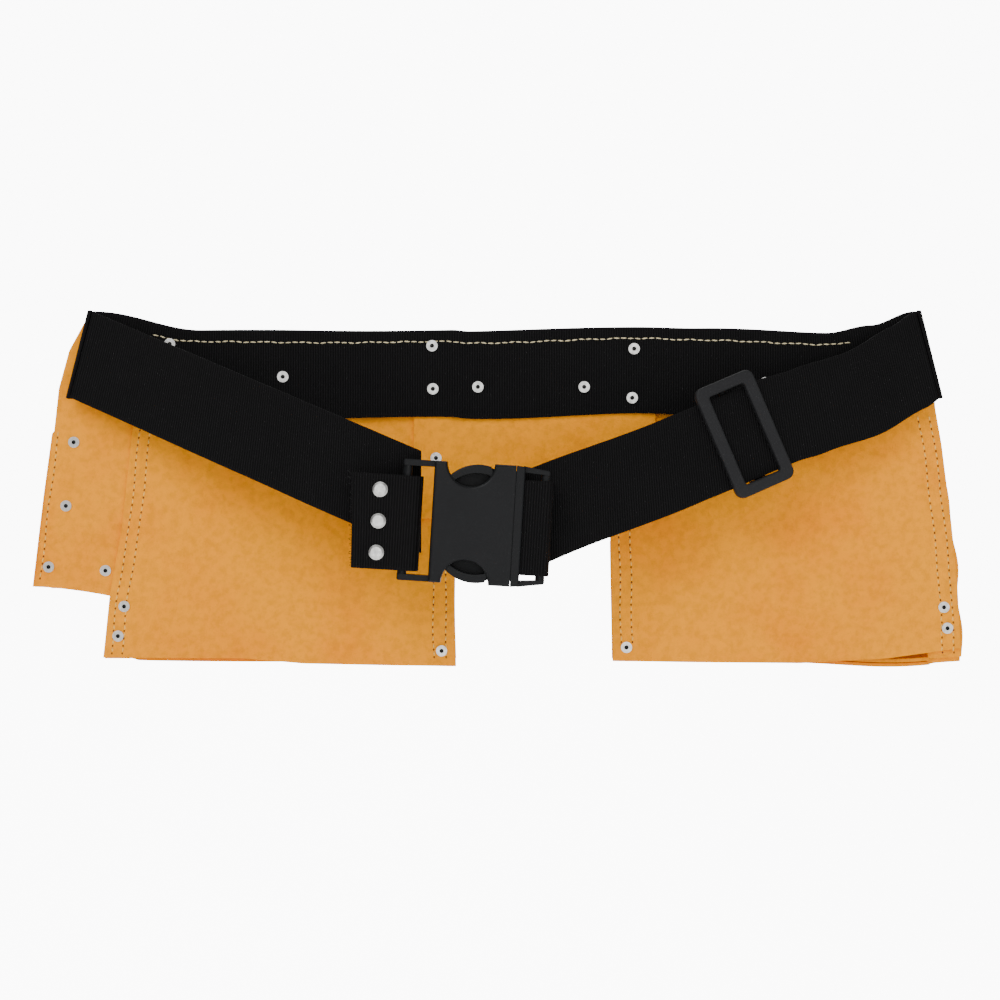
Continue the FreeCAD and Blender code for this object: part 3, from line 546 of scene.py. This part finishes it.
class ToolBeltSettings(bpy.types.PropertyGroup):
    """Sizes and colours of the belt's soft goods and fittings."""

    web_width: length_setting("Webbing width", "Width of all the webbing", 0.05)
    web_thickness: length_setting("Webbing thickness", "Thickness of the webbing", 0.0018)
    rib_pitch: length_setting("Rib pitch", "Spacing of the webbing's ribs", 0.0014)
    leather_thickness: length_setting("Leather thickness", "Thickness of the leather", 0.002)
    leather_pitch: length_setting("Leather stitch", "Stitch length on the leather", 0.0043)
    band_pitch: length_setting("Band stitch", "Stitch length on the band", 0.004)
    leather_colour: colour_setting("Leather", "Colour of the napped leather", (1.0, 0.345, 0.001, 1))
    leather_shade: colour_setting("Leather shade", "Darker clouds in the leather", (0.94, 0.275, 0.0005, 1))
    leather_thread_colour: colour_setting("Leather thread", "Thread on the leather", (1.0, 0.55, 0.1, 1))
    band_thread_colour: colour_setting("Band thread", "Thread along the band", (0.78, 0.68, 0.42, 1))
    # The needle hole colour is painted shade, the dark inside of a hole.
    hole_shade_colour: colour_setting("Needle holes", "Needle holes in the leather", (0.13, 0.022, 0.006, 1))
    webbing_colour: colour_setting("Webbing", "Colour of the webbing's yarn", (0.0024, 0.0022, 0.0024, 1))
    buckle_colour: colour_setting("Buckle", "Buckle's plastic", (0.0062, 0.0065, 0.0072, 1))
    adjuster_colour: colour_setting("Adjuster", "Slide adjuster's plastic", (0.0125, 0.0125, 0.0135, 1))
    nickel_colour: colour_setting("Nickel", "Plating on the rivets", (0.85, 0.84, 0.81, 1))
    stage_level: bpy.props.FloatProperty(
        name="Paper", description="Paleness of the studio paper", default=0.9, min=0, max=1, subtype="FACTOR"
    )


# ---------------------------------------------------------------- stage


class TOOLBELT_OT_stage(bpy.types.Operator):
    """Pale paper, soft lamps and the camera."""

    bl_idname = "tool_belt.stage"
    bl_label = "Stage"

    def execute(self, context):
        bm = bmesh.new()
        bmesh.ops.create_grid(bm, x_segments=1, y_segments=1, size=4)
        front = [e for e in bm.edges if all(v.co.y > 3.9 for v in e.verts)]
        raised = bmesh.ops.extrude_edge_only(bm, edges=front)["geom"]
        bmesh.ops.translate(bm, verts=[g for g in raised if isinstance(g, bmesh.types.BMVert)], vec=(0, 0, 5))
        bmesh.ops.translate(bm, verts=bm.verts, vec=(0, -1.6, -0.75))
        corner = [e for e in bm.edges if all(abs(v.co.z + 0.75) < 1e-4 and v.co.y > 2.3 for v in e.verts)]
        bmesh.ops.bevel(
            bm, geom=corner, offset=1.2, segments=16, profile=0.5, affect="EDGES", material=-1
        )
        link("studio_paper", bm, "stage")
        self.lamp("key_lamp", (-1.1, -1.9, 1.7), 1.5, 46)
        self.lamp("fill_lamp", (1.6, -1.7, 0.5), 1.8, 14)
        self.lamp("front_lamp", (0.1, -2.6, 0.1), 2.0, 17)
        self.lamp("paper_lamp", (0.0, 0.9, 2.4), 2.4, 34)
        self.lamp("back_lamp", (-0.6, 1.9, 0.8), 1.4, 18)
        world = bpy.data.worlds.new("studio")
        world.use_nodes = True
        world.node_tree.nodes["Background"].inputs["Color"].default_value = (1, 1, 1, 1)
        world.node_tree.nodes["Background"].inputs["Strength"].default_value = 0.3
        context.scene.world = world
        data = bpy.data.cameras.new("camera")
        data.lens = 47.3
        data.sensor_width = 36
        camera = bpy.data.objects.new("camera", data)
        camera.location = (-0.0025, -0.75, -0.072)
        camera.rotation_euler = (math.pi / 2, 0, 0)
        context.scene.collection.objects.link(camera)
        context.scene.camera = camera
        return {"FINISHED"}

    def lamp(self, name, spot, size, power):
        data = bpy.data.lights.new(name, "AREA")
        data.size = size
        data.energy = power
        lamp = bpy.data.objects.new(name, data)
        lamp.location = spot
        lamp.rotation_euler = (Vector((0, 0, -0.07)) - Vector(spot)).to_track_quat("-Z", "Y").to_euler()
        bpy.context.scene.collection.objects.link(lamp)


# ---------------------------------------------------------------- webbing


def band_wave(x, w):
    """How far the band lies off its flat face: one soft fold and a slight ripple, gone at its ends."""
    calm = 1 - ease((abs(x) - 150 * MM) / (CREASE_HALF - 150 * MM))
    fold = -0.9 * MM * hill(x, -27 * MM, 4 * MM)
    ripple = 0.22 * MM * math.sin(x * 55 + w * 40)
    return (fold + ripple) * calm


class TOOLBELT_OT_band(bpy.types.Operator):
    """The webbing band with its turn at both end creases."""

    bl_idname = "tool_belt.band"
    bl_label = "Band"

    RISE = (
        (-240.6, 10.8), (-174, 0.3), (-100, -0.3), (-31, 0.3), (-20, -0.6), (77, 2.2), (112, 1.2),
        (186, -1.4), (214, 3.0), (240.6, 10.8),
    )
    TURN_SHARE = 0.02

    def execute(self, context):
        length = 2 * CREASE_HALF + 2 * math.pi * 2.1 * MM
        band = webbing_piece("waist_band", 260, 24, self.place, length)
        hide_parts("band_webbing", "left_end_fold", "right_end_fold")
        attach(band, "apron")
        return {"FINISHED"}

    def place(self, s, t):
        look = bpy.context.scene.tool_belt
        w = (t - 0.5) * look.web_width
        turn = self.TURN_SHARE
        inside = min(1.0, max(0.0, (s - turn) / (1 - 2 * turn)))
        x0 = mix(-CREASE_HALF, CREASE_HALF, inside)
        lean = ease((abs(x0) - 150 * MM) / (CREASE_HALF - 150 * MM))
        side = 1 if x0 > 0 else -1
        x = x0 - side * lean * w * math.tan(CREASE_TILT)
        z = along(self.RISE, x0 / MM) * MM + w
        radius = STRAP_DEPTH / 2 + BAND_MIDDLE / 2
        past = max(turn - s, s - 1 + turn, 0) / turn
        angle = past * math.pi
        y = BAND_MIDDLE - radius * (1 - math.cos(angle))
        bulge = radius * math.sin(angle)
        edge = 0.35 * MM * math.sin(x0 * 47 + 1.1) * (2 * t - 1) * (1 - lean)
        return Vector((x + side * bulge, y + band_wave(x0, w), z + edge))


def left_strap_place(s, t):
    """The left strap, from its crease out to the flat end behind the flap."""
    w = (t - 0.5) * bpy.context.scene.tool_belt.web_width
    start = CREASE_GAP - w * CREASE_SLOPE
    end = LEFT_LONG - STRAP_SHORT - w * math.tan(STRAP_ANGLE)
    u = mix(start, end, s)
    reach = soft_ramp(u, 3 * MM, LEFT_LONG - 50 * MM, 14 * MM) * LEFT_REACH
    calm = ease(u / (40 * MM)) * ease((LEFT_LONG - 55 * MM - u) / (40 * MM))
    fold = 1.5 * MM * hill(u + w * 0.9, 118 * MM, 20 * MM) + 0.7 * MM * math.sin(u * 62 + w * 30)
    return LEFT_CREASE + LEFT_TURN @ Vector((u, -reach + fold * calm, w))


def right_bow(u):
    """How far the right strap lies off its straight line, in its own plane."""
    return along(RIGHT_BOW, u / MM) * MM


def right_strap_place(s, t):
    """The right strap, from its crease to the buckle's male half."""
    w = (t - 0.5) * bpy.context.scene.tool_belt.web_width
    start = CREASE_GAP - w * CREASE_SLOPE
    end = RIGHT_END - w * math.tan(STRAP_ANGLE)
    u = mix(start, end, s)
    calm = ease(u / (30 * MM)) * ease(abs(u - GLIDE_BACK) / (50 * MM) - 0.5)
    ripple = 0.6 * MM * math.sin(u * 75 + w * 35) * calm
    return RIGHT_CREASE + RIGHT_TURN @ Vector((-u, ripple, w + right_bow(u)))


def return_place(s, t):
    """The layer that comes back from the buckle and is sewn round the adjuster's hidden bar."""
    w = (t - 0.5) * bpy.context.scene.tool_belt.web_width
    if s < 1 - GLIDE_TURN:
        u = mix(RETURN_START, GLIDE_BACK, s / (1 - GLIDE_TURN))
        depth = mix(RETURN_LIFT, GLIDE_AXIS + GLIDE_WRAP, ease((RETURN_START - u) / (80 * MM)))
        return RIGHT_CREASE + RIGHT_TURN @ Vector((-u, depth, w + right_bow(u)))
    angle = (s - 1 + GLIDE_TURN) / GLIDE_TURN * math.pi
    along_strap = -GLIDE_BACK + GLIDE_WRAP * math.sin(angle)
    depth = GLIDE_AXIS + GLIDE_WRAP * math.cos(angle)
    return RIGHT_CREASE + RIGHT_TURN @ Vector((along_strap, depth, w + right_bow(GLIDE_BACK)))


class TOOLBELT_OT_straps(bpy.types.Operator):
    """The two waist straps and the layer that returns to the slide adjuster."""

    bl_idname = "tool_belt.straps"
    bl_label = "Straps"

    SWING_RUN = 75 * MM

    def execute(self, context):
        left = webbing_piece("left_strap", 150, 20, left_strap_place, LEFT_LONG)
        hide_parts("left_strap_webbing")
        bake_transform(left)
        right = webbing_piece("right_strap", 170, 20, right_strap_place, RIGHT_END)
        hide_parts("right_strap_webbing")
        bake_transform(right)
        back = webbing_piece("strap_return", 90, 20, return_place, 0.112)
        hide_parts("strap_return_webbing", "triglide_webbing_end")
        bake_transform(back)
        return {"FINISHED"}


def wrap_place(bar, front_long, rear_long, ripple, slant, low):
    """Webbing round a bar of the buckle: a front layer, a half turn and a rear layer."""
    turn = math.pi * WRAP_RADIUS
    total = front_long + turn + rear_long

    def place(s, t):
        w = (t - 0.5) * bpy.context.scene.tool_belt.web_width - low
        d = s * total
        if d < front_long:
            free = ease((front_long - d) / front_long)
            cut = slant * (0.5 - t) * free
            depth = -WRAP_RADIUS - ripple * free * math.sin(t * 9 + 1)
            local = Vector((bar - front_long + d + cut, depth, w))
        elif d < front_long + turn:
            angle = (d - front_long) / WRAP_RADIUS
            local = Vector((bar + WRAP_RADIUS * math.sin(angle), -WRAP_RADIUS * math.cos(angle), w))
        else:
            local = Vector((bar - (d - front_long - turn), WRAP_RADIUS, w))
        return BUCKLE_SPOT + BUCKLE_TURN @ local

    return place, total


class TOOLBELT_OT_buckle_webbing(bpy.types.Operator):
    """The riveted flap round the female half's bar and the loop round the male half's bar."""

    bl_idname = "tool_belt.buckle_webbing"
    bl_label = "Buckle webbing"

    def execute(self, context):
        place, total = wrap_place(
            FEMALE_BAR + FLAP_SLACK,
            FLAP_LONG + FLAP_SLACK,
            FLAP_RETURN + FLAP_SLACK,
            0.35 * MM,
            FLAP_SLANT,
            FLAP_DROP,
        )
        flap = webbing_piece("riveted_flap", 72, 22, place, total)
        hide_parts("left_strap_flap")
        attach(flap, "strap")
        place, total = wrap_place(MALE_BAR, MALE_LAYER, MALE_LAYER, 0.1 * MM, 0, MALE_DROP)
        loop = webbing_piece("male_loop", 48, 22, place, total)
        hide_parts("male_webbing_loop")
        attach(loop, "male")
        self.frays()
        return {"FINISHED"}

    def frays(self):
        """Loose yarn ends at the flap's cut edge, longest at its upper corner."""
        bm = bmesh.new()
        for number in range(34):
            t = (number + 0.5) / 34
            w = (t - 0.5) * 49 * MM - FLAP_DROP
            corner = ease((t - 0.86) / 0.14)
            long = (0.7 + 0.5 * math.sin(number * 5.1) + 2.4 * corner) * MM
            lean = 0.5 * math.sin(number * 3.7) + 0.5 * corner
            edge = FEMALE_BAR - FLAP_LONG + FLAP_SLANT * (0.5 - t)
            depth = -WRAP_RADIUS - 0.3 * MM * math.sin(number * 1.9)
            middle = Vector((edge - long / 2, depth, w + lean * long / 2))
            turn = Matrix.Rotation(lean, 4, "Y") @ Matrix.Rotation(math.pi / 2, 4, "Y")
            spot = Matrix.Translation(BUCKLE_SPOT) @ BUCKLE_TURN.to_4x4() @ Matrix.Translation(middle) @ turn
            bmesh.ops.create_cone(
                bm, cap_ends=True, segments=6, radius1=0.16 * MM, radius2=0.1 * MM,
                depth=long + 0.8 * MM, matrix=spot,
            )
        frays = link("flap_frays", bm, "black_thread")
        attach(frays, "strap")


# ---------------------------------------------------------------- leather panels


class TOOLBELT_OT_panels(bpy.types.Operator):
    """The centre panel, both pouch backs and the side panel."""

    bl_idname = "tool_belt.panels"
    bl_label = "Leather panels"

    def execute(self, context):
        centre = leather_piece("centre_leather", 60, 44, self.centre, (0.139, 0.104))
        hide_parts("centre_panel")
        left_low = lambda x: floor_at(LEFT_FLOOR, x)
        left_place = panel_place(left_edges, left_low, LEATHER_TOP, POUCH_LAYER)
        left = leather_piece("left_pouch_leather", 96, 90, left_place, (0.202, 0.188))
        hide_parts("left_pouch_back")
        right_low = lambda x: floor_at(RIGHT_FLOOR, x)
        right_place = panel_place(right_edges, right_low, LEATHER_TOP, POUCH_LAYER)
        right = leather_piece("right_pouch_leather", 96, 90, right_place, (0.2, 0.186))
        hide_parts("right_pouch_back")
        side = leather_piece("side_leather", 40, 80, self.side, (0.05, 0.155))
        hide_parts("side_panel")
        for piece in (centre, left, right, side):
            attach(piece, "apron")
        return {"FINISHED"}

    @staticmethod
    def centre(s, t):
        x = mix(-52, 86.6, s) * MM
        z = mix(-83 + 0.8 * math.sin(s * 7), 21, t) * MM
        return Vector((x, CENTRE_LAYER + drape(x, z), z))

    @staticmethod
    def side(s, t):
        low = -122 - 8 * s**1.6
        high = mix(35, 21, s)
        z = mix(low, high, t) * MM
        x = mix(edge_at(SIDE_OUTER, z), -214 * MM, s)
        return Vector((x, SIDE_LAYER + drape(x, z), z))


# ---------------------------------------------------------------- pockets

MAIN_HALF = 84 * MM
MAIN_DEPTH = 41 * MM
NAIL_EXTRA = 21.5 * MM
NAIL_MOUTH = -96 * MM
NAIL_LIFT = 1.6 * MM
POUCH_FOLD = 26 * MM
WALL_SHARE = 0.7
LAYER = 2.15 * MM


class Pouch:
    """One pouch's pockets: their plan, their sag and their rounded, folded bottoms."""

    def __init__(self, middle, edges, floor, spill):
        self.middle, self.edges, self.floor, self.spill = middle, edges, floor, spill

    def plan(self, s, z, reach):
        """Across and depth shares: flanges at both ends and a bowed wall between them."""
        flange = 0.07
        low, high = self.edges(z)
        low, high = low - (reach if self.middle < 0 else 0), high + (reach if self.middle > 0 else 0)
        left, right = self.middle - MAIN_HALF, self.middle + MAIN_HALF
        if s < flange:
            return mix(low, left, s / flange), 0.0
        if s > 1 - flange:
            return mix(right, high, (s - 1 + flange) / flange), 0.0
        angle = (s - flange) / (1 - 2 * flange) * math.pi
        return self.middle - MAIN_HALF * math.cos(angle), math.sin(angle)

    def wall(self, s, t, mouth, lift, layer, extra, curl):
        """A pocket's sheet: t runs from its mouth down the wall and back under the bottom."""
        bottom = self.floor + lift
        fold, wall_share = POUCH_FOLD, WALL_SHARE
        rim = mouth - 5 * MM * math.sin(math.pi * s) ** 2 + 1.2 * MM * math.sin(s * 23 + self.middle * 40)
        if t < wall_share:
            z, under, angle = mix(rim, bottom + fold, t / wall_share), 1.0, 0.0
        else:
            angle = (t - wall_share) / (1 - wall_share) * math.pi / 2
            z, under = bottom + fold * (1 - math.sin(angle)), math.cos(angle) ** 0.55
        spill = self.spill * (1.2 + math.sin(z * 160)) * MM * ease((-z - 30 * MM) / (90 * MM))
        x, out = self.plan(s, z, spill)
        full = 0.9 + 0.1 * ease((mouth - z) / (70 * MM))
        slack = 1 + 0.035 * math.sin(s * 17 + z * 45 + self.middle * 30)
        curled = curl * math.sin(math.pi * s) ** 3 * (1 - ease((rim - z) / (18 * MM)))
        depth = (MAIN_DEPTH * out**0.8 + extra * out**1.7) * full * slack * under + curled
        sag = -2.2 * MM * math.sin(math.pi * s) ** 2 * ease((angle) / (math.pi / 2)) * (1 - angle / math.pi)
        hang = -self.spill * 3.4 * MM * hill(x, 226 * MM, 42 * MM) * ease(angle / (math.pi / 2))
        y = POUCH_LAYER + LAYER * layer + depth + drape(x, z)
        return Vector((x, y, z + sag + hang))

    def main(self, s, t):
        return self.wall(s, t, -46 * MM, 4.4 * MM, 1, 0.0, 1.5 * MM)

    def nail(self, s, t):
        return self.wall(s, t, NAIL_MOUTH, NAIL_LIFT, 2, NAIL_EXTRA, 4.0 * MM)

    def on_nail(self, x, z, stand_off):
        """A point that stands off the nail pocket's wall at a place across and a height."""
        share = max(-1.0, min(1.0, (x - self.middle) / MAIN_HALF))
        angle = math.acos(-share)
        s = 0.07 + angle / math.pi * 0.86
        bottom = self.floor + NAIL_LIFT
        fold_top = bottom + POUCH_FOLD
        if z > fold_top:
            t = WALL_SHARE * max(0.0, (NAIL_MOUTH - z) / (NAIL_MOUTH - fold_top))
        else:
            angle = math.asin(min(1.0, 1 - (z - bottom) / POUCH_FOLD))
            t = mix(WALL_SHARE, 1, angle / (math.pi / 2))
        point = self.nail(s, t)
        return Vector((x, point.y + stand_off, z))


LEFT_POUCH = Pouch(-127.5 * MM, left_edges, -165 * MM, 0.0)
RIGHT_POUCH = Pouch(161 * MM, right_edges, -165 * MM, 1.0)


class TOOLBELT_OT_pockets(bpy.types.Operator):
    """The main and nail pockets of both pouches."""

    bl_idname = "tool_belt.pockets"
    bl_label = "Pockets"

    def execute(self, context):
        for side, pouch in (("left", LEFT_POUCH), ("right", RIGHT_POUCH)):
            main = leather_piece(f"{side}_main_bag", 110, 84, pouch.main, (0.235, 0.16))
            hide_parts(f"{side}_main_pocket", f"{side}_main_bottom")
            nail = leather_piece(f"{side}_nail_bag", 110, 70, pouch.nail, (0.27, 0.12))
            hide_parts(f"{side}_nail_pocket", f"{side}_nail_bottom")
            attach(main, "apron")
            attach(nail, "apron")
        return {"FINISHED"}


class TOOLBELT_OT_tool_holders(bpy.types.Operator):
    """The narrow tool pocket, the hammer loop, the tape loop and the side holster."""

    bl_idname = "tool_belt.tool_holders"
    bl_label = "Tool holders"

    def execute(self, context):
        tool = leather_piece("left_tool_bag", 48, 46, self.tool, (0.068, 0.06))
        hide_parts("left_tool_pocket", "left_tool_bottom")
        hammer = leather_piece("hammer_loop", 60, 16, self.hammer, (0.1, 0.024))
        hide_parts("right_hammer_loop")
        tape = leather_piece("tape_loop", 64, 16, self.tape, (0.1, 0.024))
        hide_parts("centre_tape_loop")
        holster = leather_piece("side_holster_bag", 56, 70, self.holster, (0.07, 0.1))
        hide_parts("side_holster", "side_holster_bottom")
        for piece in (tool, hammer, tape, holster):
            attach(piece, "apron")
        return {"FINISHED"}

    @staticmethod
    def tool(s, t):
        out = math.sin(math.pi * min(1, max(0, (s - 0.12) / 0.76)))
        x = LEFT_POUCH.middle + mix(-28, 28, s) * MM
        z = mix(-112 - 2 * out, -158, t) * MM
        closing = 1 - 0.85 * ease((t - 0.72) / 0.28)
        return LEFT_POUCH.on_nail(x, z, 2.2 * MM + 12.5 * MM * out**0.8 * closing)

    @staticmethod
    def hammer(s, t):
        out = math.sin(math.pi * min(1, max(0, (s - 0.12) / 0.76)))
        x = RIGHT_POUCH.middle + mix(-35, 35, s) * MM
        z = mix(-112, -136, t) * MM + 0.8 * MM * math.sin(s * 5)
        return RIGHT_POUCH.on_nail(x, z, 2.2 * MM + 17.5 * MM * out**0.75)

    @staticmethod
    def tape(s, t):
        out = math.sin(math.pi * min(1, max(0, (s - 0.16) / 0.68)))
        x = mix(-22, 52.5, s) * MM
        z = (mix(-19.5, 4.5, t) - 1.2 * out) * MM
        return Vector((x, CENTRE_LAYER + 2.1 * MM + 21.5 * MM * out**0.8, z))

    @staticmethod
    def holster(s, t):
        rim = -31 * MM - 1.5 * MM * math.sin(math.pi * s)
        fold = 14 * MM
        floor = -122 * MM
        if t < 0.8:
            z, under = mix(rim, floor + fold, t / 0.8), 1.0
        else:
            angle = (t - 0.8) / 0.2 * math.pi / 2
            z, under = floor + fold * (1 - math.sin(angle)), math.cos(angle) ** 0.6
        outer = edge_at(SIDE_OUTER, z) - 1.6 * MM * ease((-z - 31 * MM) / (3 * MM))
        flange = 0.17
        out = math.sin(math.pi * min(1, max(0, (s - flange) / (1 - 2 * flange))))
        x = mix(outer, -214 * MM, s)
        y = SIDE_LAYER + 2.1 * MM + 16.5 * MM * out**0.85 * under * (0.92 + 0.08 * math.sin(z * 60))
        return Vector((x, y + drape(x, z), z))


# ---------------------------------------------------------------- stitching


def seam_path(edge, inset, low, high, depth):
    """Points down a panel beside one of its edges."""
    points = []
    for step in range(25):
        z = mix(high, low, step / 24) * MM
        x = edge(z) + inset * MM + 0.35 * MM * math.sin(z * 140 + inset)
        points.append(Vector((x, depth + drape(x, z), z)))
    return points


class TOOLBELT_OT_stitching(bpy.types.Operator):
    """Thread along the pouches' sides, the side holster and the band, and needle holes beside the leather's
    stitches, painted as dark beads of shade.
    """

    bl_idname = "tool_belt.stitching"
    bl_label = "Stitching"

    FRONT = Vector((0, -1, 0))
    REAR = Vector((0, 1, 0))
    REAR_TOP = -98

    def execute(self, context):
        look = context.scene.tool_belt
        left_out = lambda z: left_edges(z)[0]
        left_in = lambda z: left_edges(z)[1]
        right_in = lambda z: right_edges(z)[0]
        right_out = lambda z: right_edges(z)[1]
        side_out = lambda z: edge_at(SIDE_OUTER, z)
        front = POUCH_LAYER - look.leather_thickness / 2
        rear = POUCH_LAYER + 2 * LAYER + look.leather_thickness / 2
        rows = (
            ("left_outer_a", left_out, 4.6, -158, -30, front, rear),
            ("left_outer_b", left_out, 10.6, -158, -30, front, rear),
            ("left_inner_a", left_in, -5.2, -162, -44, front, rear),
            ("left_inner_b", left_in, -12.4, -162, -44, front, rear),
            ("right_inner_a", right_in, 5.0, -152, -44, front, rear),
            ("right_inner_b", right_in, 11.4, -152, -44, front, rear),
            ("right_outer_a", right_out, -4.2, -158, -25, front, rear),
            ("right_outer_b", right_out, -10.8, -158, -25, front, rear),
            ("side_outer", side_out, 3.0, -118, -34, SIDE_LAYER - 1 * MM, SIDE_LAYER + 3.1 * MM),
        )
        for name, edge, inset, low, high, near, far in rows:
            for face, depth, out in (("front", near, self.FRONT), ("rear", far, self.REAR)):
                if face == "rear" and name != "side_outer":
                    high = self.REAR_TOP
                path = seam_path(edge, inset, low, high, depth)
                self.seam(f"{name}_{face}", path, look.leather_pitch, out)
        face = BAND_MIDDLE - look.web_thickness / 2
        stitched = [self.band_point(x * MM, face) for x in range(-199, 198, 2)]
        stitch_row(
            "band_stitch", stitched, look.band_pitch, "band_thread", self.FRONT, "apron", 0.92, 0.42
        )
        return {"FINISHED"}

    @staticmethod
    def band_point(x, face):
        w = 18.1 * MM + 0.25 * MM * math.sin(x * 310)
        return Vector((x, face + band_wave(x, w), along(TOOLBELT_OT_band.RISE, x / MM) * MM + w))

    def seam(self, name, path, pitch, out):
        stitch_row(f"{name}_thread", path, pitch, "leather_thread", out, "apron")
        shifted = [p + (path[1] - path[0]).normalized() * pitch / 2 for p in path]
        # Dark beads between the stitches, painted shade for the needle holes.
        stitch_row(f"{name}_hole_shades", shifted, pitch, "needle_hole_shade", out, "apron", 0.3, 0.5)


# ---------------------------------------------------------------- fittings


class TOOLBELT_OT_fittings(bpy.types.Operator):
    """Finishes for the rivets, buckle and adjuster, and a dark plug in the bore of each tubular rivet,
    painted shade for its deep hole.
    """

    bl_idname = "tool_belt.fittings"
    bl_label = "Fittings"

    def execute(self, context):
        bm = bmesh.new()
        for name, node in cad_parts.items():
            if "rivet" in name:
                self.paint(node, "nickel")
                # Each tubular rivet gets a nearly black plug in its middle, painted shade where the hole is
                # dark.
                if not name.startswith("cap"):
                    low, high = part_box(name)
                    middle = (low + high) / 2
                    turn = Matrix.Rotation(math.pi / 2, 4, "X")
                    bmesh.ops.create_cone(
                        bm, cap_ends=True, segments=16, radius1=1.25 * MM, radius2=1.25 * MM,
                        depth=high.y - low.y - 0.7 * MM, matrix=Matrix.Translation(middle) @ turn,
                    )
            elif name.startswith("buckle"):
                self.paint(node, "buckle_plastic")
            elif name == "triglide_frame":
                self.paint(node, "adjuster_plastic")
        bore_shades = link("rivet_bore_shades", bm, "painted_bore_shade")
        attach(bore_shades, "apron")
        return {"FINISHED"}

    @staticmethod
    def paint(node, name):
        for holder in node.material_slots:
            holder.link = "OBJECT"
            holder.material = finish(name)


# ---------------------------------------------------------------- panel and registration

OPERATORS = (
    TOOLBELT_OT_stage,
    TOOLBELT_OT_band,
    TOOLBELT_OT_panels,
    TOOLBELT_OT_pockets,
    TOOLBELT_OT_tool_holders,
    TOOLBELT_OT_straps,
    TOOLBELT_OT_buckle_webbing,
    TOOLBELT_OT_stitching,
    TOOLBELT_OT_fittings,
)


class TOOLBELT_PT_panel(bpy.types.Panel):
    """The belt's settings and its build steps."""

    bl_label = "Tool belt"
    bl_idname = "TOOLBELT_PT_panel"
    bl_space_type = "VIEW_3D"
    bl_region_type = "UI"
    bl_category = "Tool belt"

    def draw(self, context):
        for name in ToolBeltSettings.__annotations__:
            self.layout.prop(context.scene.tool_belt, name)
        for operator in OPERATORS:
            self.layout.operator(operator.bl_idname)


def register():
    for item in (ToolBeltSettings, *OPERATORS, TOOLBELT_PT_panel):
        bpy.utils.register_class(item)
    bpy.types.Scene.tool_belt = bpy.props.PointerProperty(type=ToolBeltSettings)


def unregister():
    del bpy.types.Scene.tool_belt
    for item in reversed((ToolBeltSettings, *OPERATORS, TOOLBELT_PT_panel)):
        bpy.utils.unregister_class(item)


def main():
    register()
    for operator in OPERATORS:
        group, action = operator.bl_idname.split(".")
        getattr(getattr(bpy.ops, group), action)()
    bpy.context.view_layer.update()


if __name__ == "__main__":
    main()
